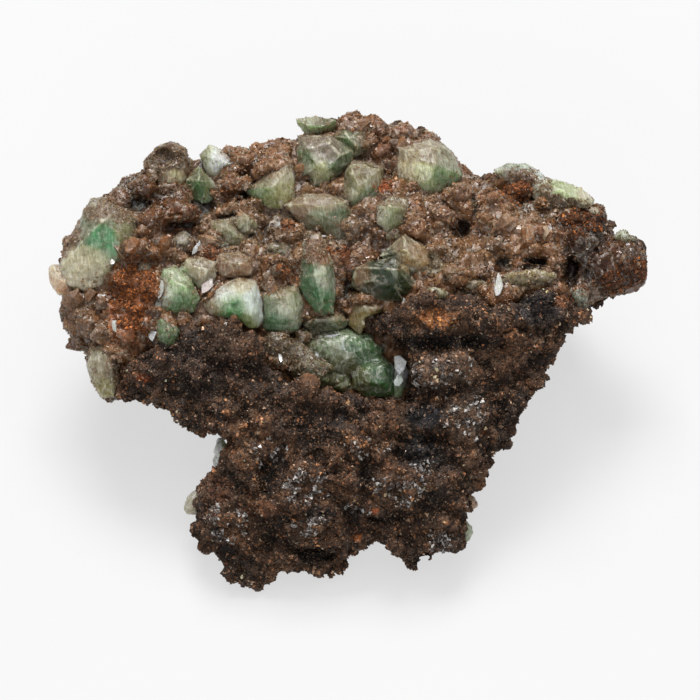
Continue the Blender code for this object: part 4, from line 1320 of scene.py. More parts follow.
@dataclass
class LimoniteRock:
    """The rock: its broken dark face, its walls and the flat underside."""

    voxel: float = 0.33
    swell: float = 0.1
    pressed: float = 1.1
    palette: Palette = Palette((94, 66, 46), (140, 94, 60), (42, 31, 27), DARK_PATCHES)
    relief: tuple[Bumps, ...] = (
        Bumps(5.2, 0.8, 5.0, False), Bumps(2.6, 0.9, 7.0), Bumps(1.0, 0.7, 2.0))
    knobs: Scatter = Scatter(Form.BALL, 1300, (0.9, 3.0), sink=0.22, rough=0.12, skew=1.6)
    grains: dict[str, Scatter] = field(default_factory=lambda: {
        "limonite_face_grains": Scatter(Form.GRAIN, 26000, (0.24, 0.56), sink=0.05, rough=0.35),
        "limonite_wall_grains": Scatter(Form.GRAIN, 6000, (0.36, 0.9), sink=0.2, rough=0.3),
        "limonite_sparks": Scatter(Form.SPLINTER, 2600, (0.1, 0.24), sink=-0.6, skew=2.5),
        "limonite_glints": Scatter(Form.SPLINTER, 3400, (0.12, 0.46), sink=-0.3, skew=2.2)})
    face_mix: Mixture = Mixture(0.85, (
        (0.1, (128, 82, 52)), (0.12, (170, 142, 118)), (0.2, (30, 23, 20))), 0.5)
    # The pale colours of the sparks and glints are partly pale grains, partly painted glint.
    mixtures: dict[str, Mixture] = field(default_factory=lambda: {
        "limonite_sparks": Mixture(0.35, ((0.3, (206, 188, 168)), (0.4, (160, 124, 94))), 0.8),
        "limonite_glints": Mixture(0.45, ((0.4, (214, 210, 206)), (0.4, (128, 118, 112))), 0.8)})

    def build(self) -> list[Piece]:
        """Builds and dresses the rock.

        Returns:
            The rock's objects.
        """
        rock = copied_node("limonite_rock", "limonite_matrix")
        self.core = Ground(node_mesh("limonite_matrix"))
        knobbled(rock, self.knobs, self._knobby, 12)
        fused(rock, self.voxel)
        self._roughen(rock.data)
        shade(rock.data)
        points = mesh_points(rock.data)
        stone = StoneFinish("limonite_stone").material()
        # The rock's colour carries painted shade: dark in hollows and between knobs, lighter on their tops.
        paint(rock.data, self.palette.colours(points, 0.0, self._painted_shade(points)), stone)
        pieces = [rock, *self._scattered(Surface(rock.data), stone)]
        for piece in pieces:
            attach(piece, "limonite_matrix")
        return pieces

    @staticmethod
    def _knobby(surface: Surface) -> Array:
        """Where the rock is knobby: most of all low on its face."""
        low, right = unit((-5.0 - surface.uvw[:, 1]) / 4.0), unit((surface.uvw[:, 0] - 2.0) / 4.0)
        return np.where(surface.facing > 0.0, 0.3 + 0.9 * np.maximum(low, 0.6 * right), 0.35)

    def _painted_shade(self, points: Array) -> Array:
        """Painted shade and light: dark in the gaps between knobs and in the hollows, light on top."""
        light = np.clip(0.62 + 0.66 * (self.core.rise(points) - self.swell), 0.14, 1.35)
        return light * pit_shade(DARK_PITS, FACE.to_face(points), 0.35)

    def _tint_and_shade(self, points: Array) -> Array:
        """The grains' linear colours, with half as much painted shade in the hollows."""
        return self.palette.colours(points, 1.0, 0.5 + 0.5 * self._painted_shade(points))

    def _roughen(self, mesh: Mesh) -> None:
        """Adds lumps, pebbles and hollows to the surface, leaving the underside flat.

        Args:
            mesh: the rock's mesh.
        """
        points, normals = mesh_points(mesh), mesh_normals(mesh)
        size = points / MM
        height = self.swell + sum(layer.heights(size) for layer in self.relief)
        foot = unit(size[:, 2] / 0.8)
        sink = self.pressed * sunk(DARK_PITS, FACE.to_face(points)) * unit(normals @ OUT * 2.0)
        set_points(mesh, raised(raised(points, normals, height * foot), OUT, -sink * foot))

    def _scattered(self, surface: Surface, stone: Material) -> list[Piece]:
        """The grains that cover the face and, more coarsely, the walls.

        Args:
            surface: the rock's surface.
            stone: their finish.

        Returns:
            The joined meshes.
        """
        rng = np.random.default_rng(21)
        shown = ~in_loop(surface.uvw, DRUSE_LOOP) & (surface.facing > 0.0)
        clear_of_foot = surface.middles[:, 2] > 0.5 * MM
        scarce = np.clip(noise_at(surface.uvw, 2.4, 90.0) * 2.0 + 0.5, 0.1, 1.0)
        places = (shown, surface.facing <= 0.15, shown * scarce, shown * glints_at(surface.uvw) ** 1.6)
        return [
            grains.strewn(name, surface, where * clear_of_foot, self._tint_and_shade,
                          self.mixtures.get(name, self.face_mix), stone, rng)
            for (name, grains), where in zip(self.grains.items(), places)]


@dataclass(frozen=True)
class Sprout:
    """A smaller crystal or a frosted lump that grows out of the crust.

    Attributes:
        at: its middle (u, v).
        size: its width and height over the face.
        rise: how far it stands out.
        turn: how far it is turned, in degrees.
        top: the colour of its upper side.
        foot: the colour of its lower side.
        level: the height w that it stands on, or None for the surface there.
    """

    at: Pair
    size: Pair
    rise: float
    turn: float
    top: Colour
    foot: Colour
    level: Optional[float] = None

    def corners(self, ground: float, rng: Chance) -> Array:
        """The crystal's corners.

        Args:
            ground: the height w of the surface that it stands on.
            rng: the source of chance.

        Returns:
            Rows (u, v, w).
        """
        rows = []
        for count, reach, height in ((7, 1.15, -0.8), (6, 1.0, 0.15), (5, 0.62, 0.8), (2, 0.3, 1.0)):
            start = rng.random() * math.tau
            for step in range(count):
                angle = start + step * math.tau / count + rng.uniform(-0.25, 0.25)
                spread = reach * rng.uniform(0.82, 1.08) / 2.0
                rows.append((spread * math.cos(angle) * self.size[0],
                             spread * math.sin(angle) * self.size[1] + 0.1 * height * self.size[1],
                             ground + self.rise * height * rng.uniform(0.9, 1.1)))
        u, v, w = np.array(rows).T
        return np.stack([*turned(self.at, u, v, self.turn), w], axis=1)

    def around(self, uvw: Array) -> Array:
        """The squares of how far points (u, v, w) are from its middle, over its size."""
        a, b = ((uvw[:, side] - self.at[side]) / self.size[side] for side in (0, 1))
        return a ** 2 + b ** 2


def sprouted(name: str, sprouts: Sequence[Sprout], ground: Ground, material: Material,
             rng: Chance) -> Piece:
    """Builds a group of sprouts in one mesh and paints it.

    Args:
        name: the group's name.
        sprouts: the sprouts.
        ground: what they stand on.
        material: their finish.
        rng: the source of chance.

    Returns:
        The joined mesh.
    """
    batch = SolidBatch()
    for sprout in sprouts:
        level = ground.height(sprout.at) - 0.1 if sprout.level is None else sprout.level
        batch.add(sprout.corners(level, rng))
    piece = batch.finish(name, 0.22, 0.21)
    uvw = FACE.to_face(mesh_points(piece.data))
    around = np.array([sprout.around(uvw) for sprout in sprouts])
    near = np.exp((around.min(axis=0) - around) * 14.0)
    near = (near / near.sum(axis=0)).T
    rises = np.stack([(uvw[:, 1] - sprout.at[1]) / sprout.size[1] + 0.5 for sprout in sprouts], axis=1)
    share = unit((near * rises).sum(axis=1) + 0.4 * noise_at(uvw, 0.9, 41.0, 2))
    tops, feet = linear([sprout.top for sprout in sprouts]), linear([sprout.foot for sprout in sprouts])
    specks = np.clip(noise_at(uvw, 0.4, 43.0, 2) * 2.0 - 0.4, 0.0, 0.85)
    colour = mixed(near @ feet, near @ tops, share)
    paint(piece.data, mixed(colour, linear(SPROUT_SPECKS), specks), material)
    return piece


SPROUT_SPECKS = (84, 54, 36)
BROWN_SPROUTS = [Sprout(*row) for row in (
    ((0.3, 22), (3.4, 2.6), 1.2, 10, (150, 122, 106), (114, 82, 62)),
    ((2.9, 21.9), (2, 2.6), 1.2, 0, (146, 100, 72), (100, 60, 38)),
    ((5.2, 21.7), (2.8, 2.4), 1.3, 0, (158, 110, 82), (104, 62, 40)),
    ((8, 20.8), (1.9, 1.4), 0.9, -20, (140, 98, 70), (102, 62, 40)),
    ((3.4, 20), (3, 2), 1.2, 20, (160, 112, 84), (104, 62, 40)),
    ((-18.6, 10.5), (2.4, 1.4), 0.8, -10, (126, 112, 102), (104, 84, 70)),
    ((-16.3, 10.2), (2.2, 1.5), 0.8, 15, (132, 114, 104), (106, 84, 70)),
    ((-13.4, 8.4), (2, 1.8), 0.9, 0, (136, 108, 88), (110, 82, 62)),
    ((-9.6, 8.2), (2.1, 2.2), 0.9, 0, (140, 110, 90), (108, 80, 62)),
    ((-7.2, 8), (1.8, 1.6), 0.8, 0, (148, 126, 104), (118, 92, 70)),
    ((9.4, 13.4), (3.4, 2.4), 1, -30, (150, 112, 88), (114, 76, 52)),
    ((11, 15.6), (2.2, 2.8), 1.1, 0, (160, 124, 100), (116, 78, 54)),
    ((15.9, 12.3), (3, 2.4), 1.2, 0, (186, 142, 122), (132, 88, 64)),
    ((18.6, 11.6), (2.2, 2), 1, 30, (172, 128, 106), (126, 84, 60)),
    ((14.2, 10.4), (2.4, 1.6), 0.9, 0, (150, 112, 86), (112, 74, 50)),
    ((-27.8, 4.8), (2.8, 2.3), 1.2, 10, (166, 132, 106), (118, 84, 60)),
    ((-26.2, 2.5), (2.8, 2.4), 1.1, -20, (150, 116, 90), (108, 74, 52)),
    ((-24.8, 4.6), (1.6, 1.5), 0.8, 0, (164, 140, 122), (118, 92, 72)),
    ((-27.2, 0.9), (2.2, 1.8), 0.8, 0, (144, 108, 80), (100, 66, 46)),
    ((-28, 10.4), (1.1, 3.2), 0.9, -14, (124, 82, 50), (92, 56, 34)),
    ((0.6, 12.2), (2.2, 2.2), 0.8, 0, (138, 112, 88), (108, 80, 58)),
    ((0.2, 8.4), (2, 2.4), 0.9, 0, (136, 96, 72), (104, 66, 46)),
    ((-11.6, 18), (2.6, 1.6), 1, 15, (132, 96, 70), (98, 62, 40)),
    ((-9.4, 13), (2.6, 2), 0.8, 0, (126, 92, 66), (96, 64, 44)),
    ((-20.4, 12.8), (2.8, 2.2), 1, 0, (128, 86, 58), (92, 56, 34)),
    ((-16.6, 13.8), (3.2, 2), 1.1, 5, (140, 90, 54), (98, 56, 30)),
    ((17, 15.9), (3.2, 2.2), 1.5, 20, (124, 78, 50), (90, 58, 40)),
    ((19.4, 14.6), (2.4, 1.8), 1.3, 0, (140, 104, 74), (104, 74, 50)),
    ((22.8, 13), (2.8, 2), 1.3, -20, (92, 64, 44), (68, 46, 33)),
    ((-12.2, 16.4), (2.2, 1.8), 1.2, 20, (136, 92, 62), (98, 62, 40)),
    ((-22, 10.2), (2, 2.2), 1, 0, (128, 92, 64), (96, 62, 40)),
    ((28, 8.6), (3, 4.4), 0.9, 0, (96, 66, 44), (64, 42, 28)))]


@dataclass
class DruseCrust:
    """The crust of brown crystals over the rock's upper part.

    It is thickened along its lower edge (bed), piled round the large crystals (drift, and the
    share of it below them) and paler near them (halo).
    """

    voxel: float = 0.3
    palette: Palette = Palette((136, 92, 58), (166, 122, 86), (80, 50, 31), DRUSE_PATCHES, 2.0)
    relief: tuple[Bumps, ...] = (
        Bumps(3.0, 0.3, 6.0, False), Bumps(2.9, 0.6, 8.0), Bumps(1.1, 0.5, 4.0))
    knobs: Scatter = Scatter(Form.BALL, 420, (0.9, 2.8), sink=0.34, rough=0.15, skew=1.5)
    crystals: dict[str, Scatter] = field(default_factory=lambda: {
        "druse_sugar_crystals": Scatter(Form.SUGAR, 14500, (0.16, 0.42), sink=0.1, skew=2.2),
        "druse_fine_sugar": Scatter(Form.SPLINTER, 12500, (0.12, 0.3), sink=-0.3, skew=1.6),
        "druse_block_crystals": Scatter(Form.POINT, 300, (0.7, 2.1), sink=0.22, lean=0.7, rough=0.14),
        "druse_collar_crystals": Scatter(Form.POINT, 900, (0.22, 0.6), sink=0.1, lean=0.7, rough=0.16)})
    rust: Scatter = Scatter(Form.GRAIN, 7500, (0.24, 0.55), sink=0.05, rough=0.3, stretch=(0.9, 1.1))
    # The palest share, (224, 206, 180), is painted glint on the sugar crystals.
    sugar_mix: Mixture = Mixture(0.2, (
        (0.08, (84, 54, 34)), (0.1, (180, 146, 110)), (0.02, (224, 206, 180)), (0.06, (160, 100, 54))), 0.5)
    rust_mix: Mixture = Mixture(0.4, ((0.15, (168, 96, 44)), (0.4, (108, 66, 38)), (0.2, (50, 32, 22))))
    bed: float = 0.7
    bed_width: float = 2.4
    drift: float = 1.45
    below: float = 0.5
    drift_width: float = 1.15
    halo: Colour = (132, 112, 82)
    halo_width: float = 1.0
    warmth: Triple = (0.99, 0.93, 0.84)

    def build(self) -> list[Piece]:
        """Builds and dresses the crust.

        Returns:
            The crust's objects.
        """
        rng = np.random.default_rng(33)
        self.large = Ground(*(node_mesh(look.node) for look in CRYSTAL_LOOKS if not look.clean))
        crust = copied_node("druse_crust", "brown_druse_crust")
        self.core = Ground(node_mesh("brown_druse_crust"))
        knobbled(crust, self.knobs, self._knobby, 14)
        fused(crust, self.voxel)
        self._settle(crust.data)
        shade(crust.data)
        sugary = CrystalFinish("druse_sugar", clear=0.15, glow=0.3, depth_mm=0.35, gloss=0.25, frost=0.5,
                               milk=(0.36, 0.23, 0.13), milkiness=0.3, bumps=0.05, ior=1.5).material()
        glassy = CrystalFinish("druse_glass", clear=0.35, glow=0.3, depth_mm=0.6, gloss=0.14, frost=0.38,
                               milk=(0.5, 0.36, 0.26), milkiness=0.35, bumps=0.03, ior=1.5).material()
        rusty = StoneFinish("rust_crumbs", specks=0.0, contrast=0.6, dull=0.95, bright=0.7).material()
        # The crust's colour carries painted shade in its hollows and gaps, and is taken 0.9 times as light:
        # a little painted shade where it shows between the sugar crystals.
        paint(crust.data, self._tint_and_shade(mesh_points(crust.data), 0.0) * 0.9, sugary)
        lumps = sprouted("druse_lumps", BROWN_SPROUTS, Ground(*meshes_of("druse_crust", "limonite_rock")),
                         glassy, rng)
        surface = Surface(crust.data, lumps.data)
        bare = np.arange(len(surface.areas)) >= len(crust.data.loop_triangles)
        pieces = [crust, lumps, *self._crystals(surface, bare, sugary, glassy, rng),
                  self._rust(surface, rusty, rng)]
        for piece in pieces:
            attach(piece, "brown_druse_crust")
        return pieces

    def _knobby(self, surface: Surface) -> Array:
        """Where the crust is knobby: on its face, clear of the large crystals."""
        return unit(self.large.distance(surface.middles) - 1.0) * (surface.facing > 0.0)

    def _painted_shade(self, points: Array) -> Array:
        """Painted shade and light: dark in the gaps between mounds and in the hollows, light on top."""
        light = np.clip(0.72 + 0.6 * self.core.rise(points), 0.24, 1.12)
        return light * pit_shade(DRUSE_PITS, FACE.to_face(points), 0.7)

    def _tint_and_shade(self, points: Array, seed: float = 2.0) -> Array:
        """The druse's linear colours with painted shade, paler round the large crystals.

        Args:
            points: rows of coordinates in metres.
            seed: shifts the changes of colour.

        Returns:
            Rows of linear colour.
        """
        colour = self.palette.colours(points, seed, self._painted_shade(points))
        share = 0.4 * falling(self.large.distance(points), self.halo_width)
        share *= unit(0.7 + noise_at(points / MM, 1.0, 16.0))
        return mixed(colour, linear(self.halo), share) * self.warmth

    def _settle(self, mesh: Mesh) -> None:
        """Roughens the crust, piles it round the large crystals and beds its edge into the rock.

        Args:
            mesh: the crust's mesh.
        """
        points, normals = mesh_points(mesh), mesh_normals(mesh)
        size, uvw, facing = points / MM, FACE.to_face(points), normals @ OUT
        height = sum(layer.heights(size) for layer in self.relief) * unit(facing * 1.5 + 0.5)
        piled = np.clip(0.8 + 1.3 * noise_at(size, 1.5, 14.0), 0.15, 1.6) * self.drift
        away = (points - self.large.nearest(points)[0]) / MM
        far = np.linalg.norm(away, axis=1)
        above = np.clip(0.5 + 1.2 * (away @ UP) / np.maximum(far, 0.05), self.below, 1.0)
        height += piled * above * falling(far, self.drift_width) * (facing > 0.1)
        near = unit(1.0 - edge_distance(uvw[:, :2]) / self.bed_width) ** 0.5
        height += self.bed * near * unit(1.0 - facing)
        sink = sunk(DRUSE_PITS, uvw) * unit(facing * 2.0)
        set_points(mesh, raised(raised(points, normals, height), OUT, -sink))

    def _crystals(self, surface: Surface, bare: Array, sugary: Material, glassy: Material,
                  rng: Chance) -> list[Piece]:
        """The small crystals: sugar all over, and blocks where the crust is coarse.

        Args:
            surface: what they grow on.
            bare: which of its triangles they leave barer.
            sugary: the finish of the small ones.
            glassy: the finish of the blocks.
            rng: the source of chance.

        Returns:
            The joined meshes.
        """
        up = (surface.facing > -0.1).astype(float)
        coarse, rusty = (covered(patches, surface.uvw, 0.0) for patches in (COARSE_PATCHES, RUST_PATCHES))
        up *= np.clip(self._painted_shade(surface.middles) * 2.5, 0.15, 1.0) * np.where(bare, 0.55, 1.0)
        beside = falling(self.large.distance(surface.middles) - 0.35, 0.4) * (surface.facing > 0.1)
        plain = up * (1.05 - rusty)
        weights = (plain, plain, up * (0.03 + coarse * coarse), beside)
        return [
            crystals.strewn(name, surface, weight, self._tint_and_shade, self.sugar_mix,
                            glassy if name == "druse_block_crystals" else sugary, rng)
            for (name, crystals), weight in zip(self.crystals.items(), weights)]

    def _rust(self, surface: Surface, rusty: Material, rng: Chance) -> Piece:
        """The crumbs of orange rust that lie on the druse in patches.

        Args:
            surface: what they lie on.
            rusty: their finish.
            rng: the source of chance.

        Returns:
            The joined mesh.
        """
        weight = covered(RUST_PATCHES, surface.uvw, 1.4 * noise_at(surface.uvw, 1.1, 12.0, 2))
        return self.rust.strewn("rust_crumbs", surface, weight * (surface.facing > -0.2),
                                lambda spots: self.palette.colours(spots, 5.0), self.rust_mix, rusty, rng)


@dataclass(frozen=True)
class CrystalLook:
    """How one green crystal, or a group grown together, is coloured.

    Attributes:
        node: the solid it replaces.
        spots: its colours and where they lie.
        slot: the record's slot for it; not used.
        clean: whether it stands free of the druse.
        dusty: how much taupe dust lies on it, from 0 to 1.
        soft: how many times its shape is smoothed, or nought to keep its edges.
        level: how light it is over the others.
        pits: hollows in it.
    """

    node: str
    spots: tuple[Spot, ...]
    slot: Slot = Slot.ADAMITE
    clean: bool = False
    dusty: float = 0.6
    soft: int = 0
    level: float = 1.0
    pits: tuple[Pit, ...] = ()

    @property
    def grown(self) -> str:
        """The name of the finished crystal."""
        return self.node + "_grown"


CRYSTAL_LOOKS = [
    CrystalLook("great_left_crystal", ((-26.2, 8.5, (205, 200, 172)), (-25, 9.3, (192, 194, 162)),
        (-24.7, 11.2, (72, 142, 100)), (-23.9, 10.4, (80, 150, 108)), (-26.8, 12.4, (104, 120, 98)),
        (-22.6, 12.2, (122, 130, 94)), (-25.4, 13.9, (92, 84, 62)), (-22.6, 10.8, (150, 158, 118)))),
    CrystalLook("pink_tip_crystal", ((-29.3, 7.2, (222, 198, 180)), (-28.4, 6.6, (196, 160, 136))),
        Slot.FROSTED),
    CrystalLook("lower_left_crystal", ((-25.2, -0.6, (176, 174, 160)), (-23.6, -0.8, (104, 92, 72)),
        (-23.4, -2.4, (86, 72, 54)), (-24.6, -3.9, (138, 134, 92)), (-25.5, -2, (150, 142, 126)))),
    # The near-black spot at (-18.9, 19.4) is painted shade in the hollow pressed there.
    CrystalLook("top_left_crystal", ((-18.9, 19.4, (46, 32, 27)), (-17.6, 20.2, (100, 70, 50)),
        (-19.8, 18.2, (94, 64, 45)), (-17.6, 17, (206, 200, 166)), (-16.4, 18.8, (90, 66, 46)),
        (-18.8, 16.6, (144, 124, 94))), dusty=0, soft=3, pits=(Pit((-18.9, 19.4), (1.2, 0.9), 1.3),
        Pit((-20.4, 18), (0.8, 0.8), -0.4), Pit((-17.4, 20.4), (0.9, 0.7), -0.4))),
    # Its dark greens, darkest at (-15.3, 16.2), are partly its own green, partly painted shade.
    CrystalLook("deep_green_crystals", ((-15.3, 16.2, (46, 92, 58)), (-14.3, 14.8, (86, 130, 90)),
        (-14.9, 17.6, (92, 98, 70)), (-13.7, 18.9, (232, 240, 240)), (-12.4, 18.4, (220, 228, 226)),
        (-13, 17.6, (206, 214, 208)), (-14.9, 19.2, (120, 124, 100))), dusty=0.05, level=1.1),
    CrystalLook("ridge_crystal", ((-7.4, 17.6, (190, 186, 170)), (-9, 16.2, (112, 148, 104)),
        (-6.7, 15.6, (168, 170, 124)), (-8, 15, (150, 168, 112)), (-8.6, 17, (150, 150, 128))), level=1.1),
    CrystalLook("top_wedge_crystal", ((-3.6, 22.5, (146, 172, 144)), (-2.6, 23.2, (88, 108, 98)),
        (-4.6, 22.9, (160, 176, 156)), (-2.2, 22.3, (110, 134, 106)))),
    # The pale spot at (-3.1, 17.9) is partly its pale face, partly painted highlight.
    CrystalLook("upper_twin_crystals", ((-3.4, 20.8, (116, 104, 88)), (-2, 19.9, (104, 94, 78)),
        (-3.1, 17.9, (190, 196, 160)), (-1.2, 18.6, (92, 118, 90)), (-4.5, 19, (116, 140, 110)),
        (-2.2, 16.9, (128, 150, 110)), (0, 20.8, (86, 116, 80)), (0.9, 20.6, (104, 118, 88))), dusty=0.45,
        level=0.85),
    CrystalLook("anvil_crystals", ((0.1, 16.7, (134, 134, 100)), (0.7, 15.9, (198, 198, 170)),
        (1.9, 15.2, (86, 142, 102)), (1, 14.3, (96, 152, 108)), (2, 17.2, (146, 142, 110)),
        (-5, 14.8, (172, 150, 132)), (-2.6, 13.2, (144, 160, 130)), (-0.6, 13.4, (84, 126, 92)),
        (-2.2, 11.8, (122, 144, 114)), (-2.6, 14.9, (170, 152, 132)), (-0.8, 14.9, (150, 140, 116))),
        level=0.76),
    CrystalLook("upper_right_crystal", ((7.9, 19.7, (140, 130, 112)), (6.1, 17.9, (206, 198, 164)),
        (7.2, 17.8, (222, 228, 188)), (9.6, 17.4, (122, 156, 122)), (8, 15.9, (150, 178, 136)),
        (9.8, 19.1, (132, 136, 118)), (6.4, 19.8, (150, 138, 116))), dusty=0.4, level=1.15),
    CrystalLook("olive_crystal", ((4.3, 13.6, (132, 148, 108)), (3.4, 13.9, (200, 204, 190)),
        (5.4, 13.8, (122, 128, 92)), (4.6, 14.8, (120, 118, 90)))),
    # The white spot at (-2.9, 7) is partly its white striated face, partly painted highlight.
    CrystalLook("central_blade_crystal", ((-4.2, 7.9, (72, 122, 88)), (-3.9, 10.4, (126, 98, 74)),
        (-3, 9.3, (146, 116, 90)), (-2.9, 7, (226, 234, 224)), (-3, 4.9, (78, 150, 104)),
        (-2.1, 7.8, (130, 158, 126)), (-3.9, 6, (74, 140, 98))), dusty=0.3, level=0.7),
    # The white spot at (-6.5, 4) is a painted highlight.
    CrystalLook("pocket_edge_crystal", ((-7.2, 5.5, (138, 150, 124)), (-7.2, 2.8, (76, 136, 92)),
        (-5.5, 4.6, (158, 168, 144)), (-6.5, 4, (222, 230, 216)), (-8.2, 4.2, (108, 134, 104))), dusty=0.3,
        soft=2, level=0.8),
    # Its white crescent is partly white frosted cleavage, partly painted highlight.
    CrystalLook("white_faced_crystal", ((-13, 4.8, (222, 228, 218)), (-11.8, 5.7, (216, 222, 214)),
        (-10, 4.8, (222, 232, 224)), (-9.7, 3.6, (206, 220, 206)), (-11.6, 4.2, (72, 138, 84)),
        (-12.4, 3.4, (96, 140, 88)), (-10.6, 2.7, (144, 170, 98)), (-13.9, 4, (156, 140, 110)),
        (-11.3, 6.7, (170, 158, 136))), dusty=0.15, soft=2, level=1),
    CrystalLook("frosted_pair_crystals", ((-17.1, 6.9, (138, 172, 130)), (-16.1, 5.6, (110, 152, 104)),
        (-18.6, 5.6, (206, 218, 204)), (-17, 4.5, (84, 132, 90)), (-15.2, 7.7, (160, 154, 136)),
        (-14.4, 8.2, (142, 132, 118))), dusty=0.4),
    CrystalLook("brown_frosted_crystal", ((-11.6, 8.6, (138, 108, 88)), (-10.4, 8.2, (158, 128, 108))),
        Slot.FROSTED),
    CrystalLook("feathered_crystal", ((-12.4, 11.9, (136, 140, 116)), (-11, 11.2, (118, 124, 98))),
        Slot.FROSTED),
    CrystalLook("taupe_twin_crystals", ((5.4, 10.2, (126, 110, 88)), (5.8, 9.2, (178, 152, 112)),
        (2.8, 7.4, (32, 54, 30)), (4.8, 6.6, (42, 62, 36)), (1.8, 6.8, (56, 62, 40)),
        (4, 8.8, (50, 58, 38))), clean=True, dusty=0.08, level=0.9),
    CrystalLook("yellow_olive_crystal", ((1.3, 4.2, (136, 122, 70)), (2.7, 3.9, (108, 90, 52)),
        (1.3, 2.6, (138, 126, 74))), dusty=0.35, soft=3, level=0.8),
    # Its dark greens are partly its own colour, partly painted shade: it lies in the pocket's shadow.
    CrystalLook("pocket_shade_crystal", ((-3.2, 2.7, (52, 62, 46)), (-1.5, 2.8, (76, 94, 72))), dusty=0.2,
        soft=3),
    CrystalLook("pocket_green_crystals", ((-2.9, 0.4, (126, 150, 122)), (-1.6, 0, (188, 204, 186)),
        (0.1, 0.9, (96, 140, 102)), (-0.9, 1.4, (132, 160, 130)), (1.9, 0.3, (86, 132, 92)),
        (-2.6, -1.6, (122, 126, 92)), (-0.8, -1.4, (138, 148, 116)), (0.2, -2.6, (112, 116, 72)),
        (2.9, -2.6, (70, 124, 78)), (1.2, -3.2, (116, 128, 78)), (2.2, -1, (88, 136, 92)),
        (3.2, -4.2, (82, 138, 84))), clean=True, dusty=0.15, soft=5, level=0.87),
    # Its white spots and level of 1.7 are partly its own white, partly painted reflection where its glassy
    # face flashes the light.
    CrystalLook("glassy_corner_crystal", ((5, -1.7, (240, 244, 240)), (5.2, -2.9, (230, 238, 232)),
        (5, -4, (132, 168, 124))), clean=True, dusty=0, level=1.7),
    CrystalLook("right_rim_crystals", ((20.2, 16.2, (146, 168, 124)), (22, 15.9, (172, 192, 150)),
        (23.6, 15.2, (212, 206, 182)), (16.8, 17.6, (142, 158, 154)), (18.9, 17.4, (208, 218, 214)),
        (20.6, 14.6, (118, 116, 84)), (19.6, 16.2, (180, 186, 160))), dusty=0.25, soft=2, level=1.15)]


